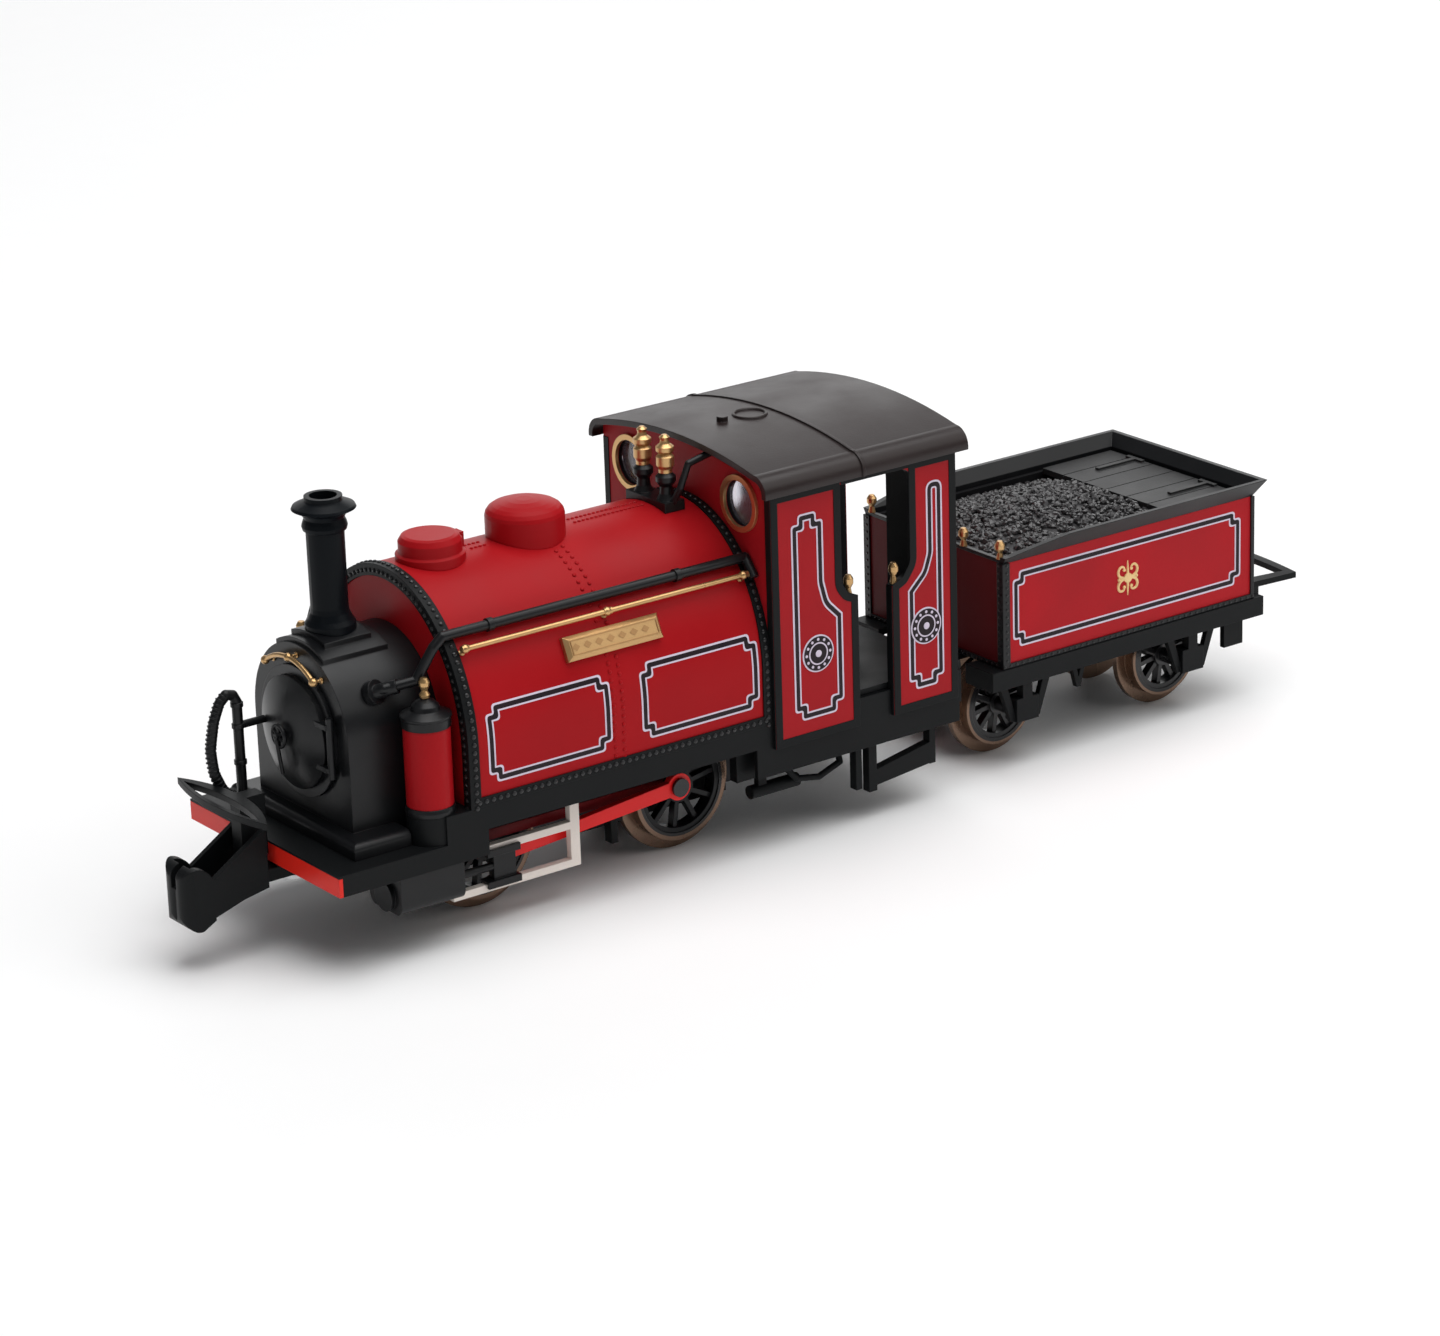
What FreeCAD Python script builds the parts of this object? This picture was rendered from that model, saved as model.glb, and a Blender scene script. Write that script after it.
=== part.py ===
"""Model steam train: an 0-4-0 saddle tank locomotive and its four-wheel tender, for 9 mm gauge track.

Everything is drawn as a locomotive drawing is: x runs forward from the face of the front buffer beam, so most
of the train lies at negative x, y runs to the left, and z rises from the top of the rail.  save() moves each
piece to the row's own frame: the middle of the whole train, with z = 0 under the wheel flanges.
"""
import FreeCAD
import Part
import math
import os

V = FreeCAD.Vector
os.makedirs("parts", exist_ok=True)

# ---------------------------------------------------------------- driving dimensions, mm
FLANGE = 0.9            # depth of a wheel flange below the rail top
TRAIN_FRONT = 7.9       # front coupler's face, ahead of the buffer beam
TRAIN_REAR = -98.7      # back of the rear buffer bow
MID_X = (TRAIN_FRONT + TRAIN_REAR) / 2

BACK_TO_BACK = 7.4      # between the backs of a pair of wheels on 9 mm gauge
TYRE_WIDTH = 1.6
WHEEL_BACK = BACK_TO_BACK / 2
WHEEL_FACE = WHEEL_BACK + TYRE_WIDTH
DRIVER_R = 4.35
DRIVER_RIM = 3.75       # where the spoked centre meets its tyre
REAR_AXLE = -34.9
FRONT_AXLE = -16.3
AXLE_R = 0.75
CRANK_THROW = 2.0
CRANK_ANGLE = 33.0      # left crank at rest, above straight ahead
SPOKES = 10

PLATE_Y = 10.65         # half width of the footplate and its valances
FRONT_PLATE_TOP = 7.65
BEAM_BOTTOM = 6.0
PLATE_TOP = 9.9
VALANCE_BOTTOM = 8.05
VALANCE_T = 0.4
RAISED_X = -9.6         # where the footplate steps up to its full height, on the sandboxes' centre line
PLATE_REAR = -59.0

SMOKEBOX_R = 6.6
SMOKEBOX_Z = 15.5
SMOKEBOX_FRONT = -3.95
SMOKEBOX_BASE_Y = 8.8
SMOKEBOX_BASE = (-7.6, -2.6)
SANDBOX_Y = 8.55
CHIMNEY_X = -7.05
CHIMNEY_TOP = 33.1

TANK_FRONT = -12.0
TANK_REAR = -40.1
TANK_Y = 10.5           # half width, and the short radius of the tank's elliptical top
TANK_Z = 14.3           # where the upright sides give way to the ellipse
TANK_TOP = 26.3
TANK_WALL = 0.9
STRIP_T = 0.15          # thickness of the black riveted angle strips
STRIP_W = 0.8
FILLER_X = -16.2
DOME_X = -24.9
DOME_R = 3.1

CAB_FRONT = -40.13
CAB_REAR = -58.4
CAB_Y = 10.99
CAB_T = 0.75
CAB_SKIRT = 7.8         # lower edge of the cab side sheets
DOOR_FRONT = -48.25
DOOR_REAR = -51.9
CUT_FRONT = -46.6       # window part of the side opening
CUT_REAR = -54.1
CUT_SHOULDER = 18.9
CUT_TOP = 28.0
REAR_DOOR_Y = 3.1       # half width of the way through the cab's rear sheet
WINDOW_Y = 7.2
WINDOW_Z = 27.1
WINDOW_R = 1.85
RIM_R = 2.3

ROOF_FRONT = -39.2
ROOF_REAR = -59.2
ROOF_CROWN = 31.35
ROOF_R = 46.5
ROOF_SHOULDER = 10.2    # where the crown's arc turns down into the eave
EAVE_Y = 11.7
EAVE_Z = 28.5
ROOF_T = 0.5

CYL_FRONT = -5.5
CYL_REAR = -11.2
CYL_Y = (5.9, 10.3)
CYL_Z = (2.85, 5.98)
PISTON_Y = 8.3
PISTON_Z = 3.9
BAR_REAR = -22.9
CROSSHEAD_X = -16.0
STROKE_SPARE = 0.25

ROD_PIN_R = 0.4
RUN_FIT = 0.05          # radial running clearance
COUPLING_ROD_Y = (5.5, 6.1)
CONNECTING_ROD_Y = (6.85, 7.45)
SMALL_END = (-16.6, 4.05)

IDLER_Z = 8.85
WORM_Z = 13.05
MOTOR_R = 4.0
MOTOR_X = (-29.5, -14.5)

DRAW_LOCO_X = -56.2
DRAW_TENDER_X = -64.7
DRAW_Z = (4.9, 5.5)

TENDER_FRONT = -64.9
TENDER_REAR = -92.0
TENDER_Y = 8.9
TENDER_BOTTOM = 8.0
TENDER_TOP = 17.0
TENDER_WALL = 0.8
COPING_TOP = 18.45
COPING_OUT = 0.9        # how far the flared coping leans out
TENDER_SOLE = 6.35      # bottom of the tender's solebars
TENDER_SOLE_Y = 9.2
TENDER_HEADSTOCK = -93.1
TENDER_R = 3.5
TENDER_AXLES = (-67.4, -85.45)
TENDER_AXLE_R = 0.6

BOW_TIP = (3.3, 6.45)   # the front bow's pointed ends, ahead of the beam and to either side
BOW_BARS = (1.6, 4.3)   # its two bars at the middle
BOW_Z = (10.95, 11.45)
LOOP_Y = 7.6            # half width of the rear loop where it leaves the headstock
LOOP_Z = (8.25, 8.75)

COUPLER_PIVOT = -2.5


# ---------------------------------------------------------------- small helpers
def box(x, y, z):
    """A box between pairs of coordinates."""
    lo = V(min(x), min(y), min(z))
    return Part.makeBox(abs(x[1] - x[0]), abs(y[1] - y[0]), abs(z[1] - z[0]), lo)


def rod(a, b, r):
    """A round bar from point a to point b."""
    a = V(*a)
    d = V(*b) - a
    return Part.makeCylinder(r, d.Length, a, d)


def ball(c, r):
    return Part.makeSphere(r, V(*c))


def disc(x, z, y0, y1, r):
    """A round plate lying across the train, from y0 to y1."""
    return rod((x, y0, z), (x, y1, z), r)


def join(pieces):
    whole = pieces[0]
    if len(pieces) > 1:
        whole = whole.multiFuse(pieces[1:])
    return whole.removeSplitter()


def group(pieces):
    """Separate solids that share one node."""
    return Part.makeCompound(pieces)


def mirror(shape):
    """The same piece on the other side of the train."""
    return shape.mirror(V(0, 0, 0), V(0, 1, 0))


def both(shape):
    return [shape, mirror(shape)]


def face(points):
    """A flat face from points and three-point arcs: ('arc', middle, end) bends to end through middle."""
    edges = []
    here = V(*points[0])
    for p in points[1:]:
        if p[0] == "arc":
            edges.append(Part.Arc(here, V(*p[1]), V(*p[2])).toShape())
            here = V(*p[2])
        else:
            edges.append(Part.LineSegment(here, V(*p)).toShape())
            here = V(*p)
    start = V(*points[0])
    if (here - start).Length > 1e-6:
        edges.append(Part.LineSegment(here, start).toShape())
    return Part.Face(Part.Wire(edges))


def side_plate(points, y0, y1):
    """Extrude an outline in x and z from y0 to y1."""
    flat = []
    for p in points:
        if p[0] == "arc":
            flat.append(("arc", (p[1][0], y0, p[1][1]), (p[2][0], y0, p[2][1])))
        else:
            flat.append((p[0], y0, p[1]))
    return face(flat).extrude(V(0, y1 - y0, 0))


def cross_plate(points, x0, x1):
    """Extrude an outline in y and z from x0 to x1."""
    flat = []
    for p in points:
        if p[0] == "arc":
            flat.append(("arc", (x0, p[1][0], p[1][1]), (x0, p[2][0], p[2][1])))
        else:
            flat.append((x0, p[0], p[1]))
    return face(flat).extrude(V(x1 - x0, 0, 0))


def turned(profile, x, y, z):
    """Turn a profile of (radius, height) points about a vertical axis."""
    pts = [V(r, 0, h) for r, h in profile]
    if profile[0][0] > 0:
        pts.insert(0, V(0, 0, profile[0][1]))
    if profile[-1][0] > 0:
        pts.append(V(0, 0, profile[-1][1]))
    wire = Part.makePolygon(pts + [pts[0]])
    solid = Part.Face(wire).revolve(V(0, 0, 0), V(0, 0, 1), 360)
    solid.translate(V(x, y, z))
    return solid


def pipe(points, r):
    """A bent pipe: straight runs with a ball at each bend."""
    pieces = [rod(a, b, r) for a, b in zip(points, points[1:])]
    pieces += [ball(p, r) for p in points[1:-1]]
    return join(pieces)


def arch(half, centre_z, bottom, x0, x1):
    """Upright sides and a half-round top, as the tank and the smokebox have."""
    outline = [(-half, bottom), (-half, centre_z), ("arc", (0, centre_z + half), (half, centre_z)), (half, bottom)]
    return cross_plate(outline, x0, x1)


def save(name, shape):
    moved = shape.copy()
    moved.translate(V(-MID_X, 0, FLANGE))
    moved.exportStep(f"parts/{name}.step")


def on_side(side, pair):
    """The y range of a piece on the left (+1) or right (-1) side."""
    return (side * pair[0], side * pair[1])


# ---------------------------------------------------------------- wheels and axles
def crank_pin(side):
    """Crank pin's offset from its axle; the right crank leads the left by a quarter turn."""
    angle = math.radians(CRANK_ANGLE + (0 if side > 0 else 90))
    return CRANK_THROW * math.cos(angle), CRANK_THROW * math.sin(angle)


def tyre(x, z, tread_r, rim_r, side):
    """A tyre with its flange at the back, bored to take the wheel centre."""
    y_back = side * WHEEL_BACK
    y_face = side * WHEEL_FACE
    y_flange = side * (WHEEL_BACK + 0.55)
    ring = disc(x, z, y_back, y_face, tread_r)
    ring = ring.fuse(disc(x, z, y_back, y_flange, tread_r + FLANGE))
    return ring.cut(disc(x, z, y_back, y_face, rim_r))


def spoked_centre(x, z, rim_r, hub_r, axle_r, side, pin=None):
    """A cast wheel centre: rim ring, hub, spokes and, on a driver, the crank boss."""
    y_in = side * (WHEEL_BACK + 0.3)
    y_out = side * (WHEEL_FACE - 0.1)
    y_mid = (side * (WHEEL_BACK + 0.55), side * (WHEEL_FACE - 0.35))
    ring = disc(x, z, y_in, y_out, rim_r).cut(disc(x, z, y_in, y_out, rim_r - 0.4))
    pieces = [ring, disc(x, z, y_in, y_out, hub_r)]
    spoke = box((x + hub_r - 0.2, x + rim_r - 0.2), y_mid, (z - 0.2, z + 0.2))
    for n in range(SPOKES):
        pieces.append(spoke.rotated(V(x, 0, z), V(0, 1, 0), 360.0 * n / SPOKES + 10))
    if pin:
        pieces.append(disc(x + pin[0], z + pin[1], y_in, y_out, 0.95))
    return join(pieces).cut(disc(x, z, y_in, y_out, axle_r))


def driving_wheelset(name, x, pin_end):
    tyres = []
    centres = []
    pins = []
    for side in (1, -1):
        dx, dz = crank_pin(side)
        tyres.append(tyre(x, DRIVER_R, DRIVER_R, DRIVER_RIM, side))
        hub = spoked_centre(x, DRIVER_R, DRIVER_RIM, 1.25, AXLE_R, side, (dx, dz))
        centres.append(hub.cut(disc(x + dx, DRIVER_R + dz, side * 4.6, side * 6, ROD_PIN_R)))
        pin = disc(x + dx, DRIVER_R + dz, side * 4.6, side * pin_end, ROD_PIN_R)
        cap = disc(x + dx, DRIVER_R + dz, side * (pin_end - 0.1), side * (pin_end + 0.15), 0.75)
        pins.append(pin.fuse(cap))
        if pin_end > 7:
            pins[-1] = pins[-1].fuse(disc(x + dx, DRIVER_R + dz, side * 6.15, side * 6.8, 0.7))
    save(f"{name}_tyres", group(tyres))
    save(f"{name}_wheel_centres", group(centres))
    save(f"{name}_axle", group([disc(x, DRIVER_R, -(WHEEL_FACE - 0.1), WHEEL_FACE - 0.1, AXLE_R)] + pins))


def toothed(x, z, y0, y1, outer, teeth, bore):
    """A gear whose tips stop just short of the pitch line, so that it turns freely against its mate."""
    root = outer - 0.4
    wheel = disc(x, z, y0, y1, root)
    pitch = 2 * math.pi * root / teeth
    tooth = box((x, x + outer), (y0, y1), (z - pitch * 0.24, z + pitch * 0.24))
    for n in range(teeth):
        wheel = wheel.fuse(tooth.rotated(V(x, 0, z), V(0, 1, 0), 360.0 * n / teeth))
    return wheel.removeSplitter().cut(disc(x, z, y0, y1, bore))


def make_gears():
    save("axle_gear", toothed(REAR_AXLE, DRIVER_R, 0.6, 1.5, 2.66, 18, AXLE_R))
    spur = toothed(REAR_AXLE, IDLER_Z, 0.6, 1.5, 1.76, 12, 0.3)
    worm_wheel = toothed(REAR_AXLE, IDLER_Z, -0.5, 0.55, 2.96, 20, 0.3)
    shaft = disc(REAR_AXLE, IDLER_Z, -2.9, 2.9, 0.5)
    hub = disc(REAR_AXLE, IDLER_Z, -0.9, 1.8, 0.9)
    save("idler_gear", join([spur, worm_wheel, shaft, hub]))
    worm = [rod((-38.9, 0, WORM_Z), (MOTOR_X[0] + 2.0, 0, WORM_Z), 0.4)]
    worm.append(rod((REAR_AXLE - 2.4, 0, WORM_Z), (REAR_AXLE + 2.4, 0, WORM_Z), 0.85))
    thread_pitch = 0.8
    for n in range(6):
        x = REAR_AXLE - 2.0 + n * thread_pitch
        worm.append(rod((x - 0.2, 0, WORM_Z), (x + 0.2, 0, WORM_Z), 1.14))
    save("motor_shaft", join(worm))


# ---------------------------------------------------------------- rods and crossheads
def make_rods():
    for side, word in ((1, "left"), (-1, "right")):
        dx, dz = crank_pin(side)
        z = DRIVER_R + dz
        y = on_side(side, COUPLING_ROD_Y)
        ends = (REAR_AXLE + dx, FRONT_AXLE + dx)
        bar = box(ends, y, (z - 0.42, z + 0.42))
        bar = join([bar] + [disc(x, z, y[0], y[1], 0.85) for x in ends])
        save(f"coupling_rod_{word}", bar.cut(group([disc(x, z, y[0], y[1], ROD_PIN_R + RUN_FIT) for x in ends])))

        y = on_side(side, CONNECTING_ROD_Y)
        big = (REAR_AXLE + dx, z)
        # the right crank's small end stands as far behind the left one as its crank pin does
        small_x, small_z = small_end(side)
        big_disc = disc(big[0], big[1], y[0], y[1], 1.1)
        angle = math.degrees(math.atan2(small_z - big[1], small_x - big[0]))
        length = math.hypot(small_x - big[0], small_z - big[1])
        taper = [(0.4, -0.62), (length, -0.42), (length + 0.55, -0.42), (length + 0.55, 0.42), (length, 0.42),
                 (0.4, 0.62)]
        bar = side_plate(taper, y[0], y[1]).rotated(V(0, 0, 0), V(0, 1, 0), -angle)
        bar.translate(V(big[0], 0, big[1]))
        bar = join([bar, big_disc])
        bar = bar.cut(disc(big[0], big[1], y[0], y[1], ROD_PIN_R + RUN_FIT))
        save(f"connecting_rod_{word}", bar.cut(disc(small_x, small_z, y[0], y[1], 0.3)))

        cross = small_x - SMALL_END[0]
        block = [box((-16.9 + cross, -14.9 + cross), on_side(side, (7.95, 8.65)), (2.85, 4.95))]
        for low, high, lip in ((2.7, 2.9, (2.35, 2.9)), (4.9, 5.1, (4.9, 5.45))):
            block.append(box((-17.2 + cross, -14.2 + cross), on_side(side, (7.75, 8.95)), (low, high)))
            block.append(box((-17.2 + cross, -14.2 + cross), on_side(side, (8.68, 8.95)), lip))
        piston = rod((-15.0 + cross, side * PISTON_Y, PISTON_Z), (-6.9 + cross, side * PISTON_Y, PISTON_Z), 0.32)
        save(f"crosshead_{word}", join(block + [piston]))


def small_end(side):
    """Where the connecting rod's small end stands at rest: the rod's length and level are those of the left one."""
    dx, dz = crank_pin(side)
    left_dx, left_dz = crank_pin(1)
    return SMALL_END[0] + dx - left_dx, SMALL_END[1] + dz - left_dz


# ---------------------------------------------------------------- locomotive frame
def make_chassis():
    block = box((-57.0, -12.2), (-3.0, 3.0), (2.6, 9.2))
    cheeks = box((REAR_AXLE - 2.2, REAR_AXLE + 2.2), (-3.0, 3.0), (9.2, 10.2))
    post = box((-39.1, -38.25), (-1.6, 1.6), (9.2, 14.6))
    block = join([block, cheeks, post])
    block = block.cut(box((-38.2, -31.4), (-1.0, 1.9), (2.0, 11.0)))
    block = block.cut(rod((MOTOR_X[0] - 0.1, 0, WORM_Z), (MOTOR_X[1] + 0.1, 0, WORM_Z), MOTOR_R + 0.02))
    block = block.cut(rod((-41.0, 0, WORM_Z), (-38.0, 0, WORM_Z), 0.4 + RUN_FIT))
    block = block.cut(disc(REAR_AXLE, IDLER_Z, -4, 4, 0.5 + RUN_FIT))
    slot = AXLE_R + RUN_FIT
    for x in (REAR_AXLE, FRONT_AXLE):
        block = block.cut(disc(x, DRIVER_R, -4, 4, slot))
        block = block.cut(box((x - slot, x + slot), (-4, 4), (2.0, DRIVER_R)))
    block = block.cut(box((-57.1, -54.6), (-4, 4), (2.0, 6.4)))
    for x in (-25.6, -52.0):
        block = block.cut(rod((x, 0, 2.0), (x, 0, 9.3), 0.6))
    save("chassis_block", block)

    plate = box((-41.0, -12.2), (-2.9, 2.9), (1.9, 2.58))
    for x in (REAR_AXLE, FRONT_AXLE):
        for side in (1, -1):
            plate = plate.fuse(box((x - 0.7, x + 0.7), on_side(side, (2.05, 2.9)), (2.5, DRIVER_R - slot)))
    plate = plate.cut(box((-38.2, -31.4), (-1.0, 1.9), (1.0, 3.0)))
    plate = plate.cut(rod((-25.6, 0, 1.0), (-25.6, 0, 3.0), 0.6))
    save("keeper_plate", plate.removeSplitter())

    fasteners = []
    for x, low, top in ((-25.6, 1.5, 8.6), (-52.0, 2.2, 9.2)):
        head = rod((x, 0, low), (x, 0, low + 0.4), 1.0).fuse(rod((x, 0, low + 0.3), (x, 0, top), 0.55))
        fasteners.append(head.cut(box((x - 1.2, x + 1.2), (-0.12, 0.12), (low - 0.1, low + 0.15))))
    pin = rod((DRAW_LOCO_X, 0, 4.3), (DRAW_LOCO_X, 0, 6.4), 0.5)
    fasteners.append(pin.fuse(rod((DRAW_LOCO_X, 0, 4.3), (DRAW_LOCO_X, 0, 4.8), 0.9)))
    pin = rod((COUPLER_PIVOT, 0, 4.0), (COUPLER_PIVOT, 0, 6.99), 0.6)
    fasteners.append(pin.fuse(rod((COUPLER_PIVOT, 0, 4.0), (COUPLER_PIVOT, 0, 4.5), 1.1)))
    save("screws_and_pins", group(fasteners))


def make_motor():
    can = rod((MOTOR_X[0], 0, WORM_Z), (MOTOR_X[1], 0, WORM_Z), MOTOR_R)
    nose = rod((MOTOR_X[0] - 0.8, 0, WORM_Z), (MOTOR_X[0], 0, WORM_Z), 1.3)
    bore = rod((MOTOR_X[0] - 1.0, 0, WORM_Z), (MOTOR_X[0] + 2.2, 0, WORM_Z), 0.45)
    save("motor", can.fuse(nose).cut(bore))
    weight = arch(SMOKEBOX_R - 1.1, SMOKEBOX_Z, 9.9, -11.6, -5.2)
    weight = weight.cut(rod((CHIMNEY_X, 0, 18.0), (CHIMNEY_X, 0, 23.0), 1.4))
    save("ballast_weight", weight)


def make_footplate():
    front = box((RAISED_X, -0.35), (-PLATE_Y, PLATE_Y), (7.0, FRONT_PLATE_TOP))
    lip = box((-0.35, 0.0), (-PLATE_Y, PLATE_Y), (7.5, FRONT_PLATE_TOP))
    backing = box((-1.0, -0.35), (-PLATE_Y, PLATE_Y), (BEAM_BOTTOM, FRONT_PLATE_TOP))
    pieces = [front, lip, backing]
    for side in (1, -1):
        pieces.append(box((-13.3, -0.35), on_side(side, (PLATE_Y - VALANCE_T, PLATE_Y)), (BEAM_BOTTOM, PLATE_TOP)))
        pieces.append(rod((RAISED_X, side * SANDBOX_Y, 7.0), (RAISED_X, side * SANDBOX_Y, PLATE_TOP), 1.9))
    pieces.append(box((-13.3, RAISED_X), (-PLATE_Y, PLATE_Y), (7.0, PLATE_TOP)))
    pieces.append(box((PLATE_REAR, -13.3), (-PLATE_Y, PLATE_Y), (9.22, PLATE_TOP)))
    for side in (1, -1):
        y = on_side(side, (PLATE_Y - VALANCE_T, PLATE_Y))
        pieces.append(box((PLATE_REAR, -13.3), y, (VALANCE_BOTTOM, PLATE_TOP)))
        pieces.append(box((-58.8, -38.5), y, (5.6, PLATE_TOP)))
    pieces.append(box((PLATE_REAR, PLATE_REAR + 0.6), (-PLATE_Y, PLATE_Y), (7.2, PLATE_TOP)))
    plate = join(pieces)
    # the front corners above the front plate are open air
    corner = box((RAISED_X, 1.0), (-12, 12), (FRONT_PLATE_TOP, 12))
    for side in (1, -1):
        corner = corner.cut(rod((RAISED_X, side * SANDBOX_Y, 7.0), (RAISED_X, side * SANDBOX_Y, PLATE_TOP), 1.9))
    plate = plate.cut(corner)
    # room for the smokebox, the chassis block and the mechanism
    plate = plate.cut(box((TANK_FRONT, RAISED_X), (-6.62, 6.62), (FRONT_PLATE_TOP, 12)))
    plate = plate.cut(box((-41.0, -13.0), (-4.02, 4.02), (5.0, 12)))
    plate = plate.cut(box((-13.4, -12.15), (-4.02, 4.02), (5.0, 9.21)))
    for x in (REAR_AXLE, FRONT_AXLE):
        for side in (1, -1):
            y = on_side(side, (WHEEL_BACK - 0.4, WHEEL_FACE + 0.3))
            plate = plate.cut(box((x - 5.8, x + 5.8), y, (6.5, 12)))
    save("footplate", plate.removeSplitter())
    save("buffer_beam", box((-0.33, 0.0), (-PLATE_Y, PLATE_Y), (BEAM_BOTTOM, 7.48)))


def make_cylinders():
    blocks = []
    slides = []
    for side in (1, -1):
        block = box((CYL_REAR, CYL_FRONT), on_side(side, (CYL_Y[0], PLATE_Y - VALANCE_T - 0.02)), (CYL_Z[0], 6.98))
        block = join([block, box((CYL_REAR, CYL_FRONT), on_side(side, CYL_Y), CYL_Z)])
        edge = [e for e in block.Edges if e.BoundBox.ZMax < CYL_Z[0] + 0.01 and e.BoundBox.XLength > 1]
        block = block.makeFillet(0.8, edge)
        gland = rod((CYL_REAR - 0.7, side * PISTON_Y, PISTON_Z), (CYL_REAR, side * PISTON_Y, PISTON_Z), 0.75)
        cover = rod((CYL_FRONT, side * PISTON_Y, PISTON_Z + 0.2), (CYL_FRONT + 0.35, side * PISTON_Y, PISTON_Z + 0.2), 1.2)
        block = join([block, gland, cover])
        bore = rod((CYL_REAR - 1, side * PISTON_Y, PISTON_Z), (CYL_FRONT - 0.6, side * PISTON_Y, PISTON_Z), 0.38)
        blocks.append(block.cut(bore))
        y = on_side(side, (8.0, 8.6))
        bars = [box((BAR_REAR, CYL_REAR), y, (5.15, 5.75)), box((BAR_REAR, CYL_REAR), y, (2.05, 2.65)),
                box((BAR_REAR, BAR_REAR + 0.85), y, (2.05, 9.2))]
        slides.append(join(bars))
    save("cylinders", group(blocks))
    save("slidebars", group(slides))


# ---------------------------------------------------------------- smokebox and chimney
def make_smokebox():
    shell = arch(SMOKEBOX_R, SMOKEBOX_Z, FRONT_PLATE_TOP, TANK_FRONT, SMOKEBOX_FRONT)
    base = box(SMOKEBOX_BASE, (-SMOKEBOX_BASE_Y, SMOKEBOX_BASE_Y), (FRONT_PLATE_TOP, 8.9))
    rim = [e for e in base.Edges if e.BoundBox.ZMin > 8.8 and e.BoundBox.XMax > SMOKEBOX_BASE[0] + 0.1]
    base = base.makeFillet(0.55, rim)
    pieces = [shell, base]
    for radius, x, y in ((6.95, (-9.9, -4.2), 3.3), (7.35, (-9.1, -5.0), 2.35)):
        pad = rod((x[0], 0, SMOKEBOX_Z), (x[1], 0, SMOKEBOX_Z), radius)
        pieces.append(pad.common(box(x, (-y, y), (19, 24))))
    body = join(pieces)
    body = body.cut(arch(SMOKEBOX_R - 0.8, SMOKEBOX_Z, 8.6, TANK_FRONT, SMOKEBOX_FRONT - 0.8))
    body = body.cut(rod((CHIMNEY_X, 0, 19.0), (CHIMNEY_X, 0, 26.0), 0.8))
    save("smokebox", body)

    door_z = 15.3
    flange = rod((SMOKEBOX_FRONT, 0, door_z), (SMOKEBOX_FRONT + 0.35, 0, door_z), 5.15)
    dish_r = 4.4
    rise = 0.85
    sphere_r = (dish_r ** 2 + rise ** 2) / (2 * rise)
    dish = ball((SMOKEBOX_FRONT + 0.75 + rise - sphere_r, 0, door_z), sphere_r)
    dish = dish.common(rod((SMOKEBOX_FRONT, 0, door_z), (0, 0, door_z), dish_r))
    pieces = [flange, dish]
    for z in (door_z + 1.7, door_z - 1.7):
        strap = box((SMOKEBOX_FRONT + 0.3, SMOKEBOX_FRONT + 0.95), (1.2, 5.0), (z - 0.2, z + 0.2))
        pieces.append(strap.cut(ball((SMOKEBOX_FRONT + 0.35, 0, door_z), 0.1)))
    pieces.append(rod((SMOKEBOX_FRONT + 0.55, 4.95, door_z - 2.4), (SMOKEBOX_FRONT + 0.55, 4.95, door_z + 2.4), 0.28))
    door = join(pieces).cut(rod((SMOKEBOX_FRONT, 0, door_z), (0, 0, door_z), 0.3))
    save("smokebox_door", door)

    hub_x = SMOKEBOX_FRONT + 1.65
    stem = rod((SMOKEBOX_FRONT + 0.1, 0, door_z), (hub_x + 0.7, 0, door_z), 0.26)
    wheel = Part.makeTorus(0.84, 0.16, V(hub_x + 0.35, 0, door_z), V(1, 0, 0))
    pieces = [stem, wheel]
    for n in range(3):
        spoke = rod((hub_x + 0.35, 0, door_z - 0.84), (hub_x + 0.35, 0, door_z + 0.84), 0.13)
        pieces.append(spoke.rotated(V(0, 0, door_z), V(1, 0, 0), 60 * n))
    handle = rod((hub_x + 0.6, 0, door_z), (hub_x + 0.4, 0.3, door_z - 2.9), 0.16)
    save("door_handwheel", join(pieces + [handle]))

    rail_r = 5.75
    rail_x = SMOKEBOX_FRONT + 0.75
    ring = Part.makeTorus(rail_r, 0.2, V(rail_x, 0, SMOKEBOX_Z), V(1, 0, 0))
    wedge = cross_plate([(0, SMOKEBOX_Z), (-6.2, SMOKEBOX_Z + 7.6), (0, SMOKEBOX_Z + 10), (6.2, SMOKEBOX_Z + 7.6)],
                        rail_x - 1, rail_x + 1)
    pieces = [ring.common(wedge)]
    for angle in (-36, 0, 36):
        y = rail_r * math.sin(math.radians(angle))
        z = SMOKEBOX_Z + rail_r * math.cos(math.radians(angle))
        pieces.append(ball((rail_x, y, z), 0.36))
        pieces.append(rod((SMOKEBOX_FRONT, y, z), (rail_x, y, z), 0.16))
    rail = join(pieces)

    foot = SMOKEBOX_Z + 7.35
    top = CHIMNEY_TOP
    stack = turned([(1.95, foot - 0.25), (1.95, foot + 0.35), (1.72, foot + 0.7), (1.5, foot + 1.2),
                    (1.44, foot + 1.6), (1.46, top - 2.7), (1.66, top - 2.6), (1.74, top - 2.3), (1.66, top - 2.0),
                    (1.54, top - 1.7), (1.7, top - 1.35), (2.45, top - 0.95), (2.35, top - 0.75), (1.45, top - 0.35),
                    (1.45, top)],
                   CHIMNEY_X, 0, 0)
    stack = stack.cut(rod((CHIMNEY_X, 0, foot - 1), (CHIMNEY_X, 0, top + 1), 1.05))
    stack = stack.cut(rod((-12, 0, SMOKEBOX_Z), (0, 0, SMOKEBOX_Z), 7.35))
    save("chimney", stack)
    return rail


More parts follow.
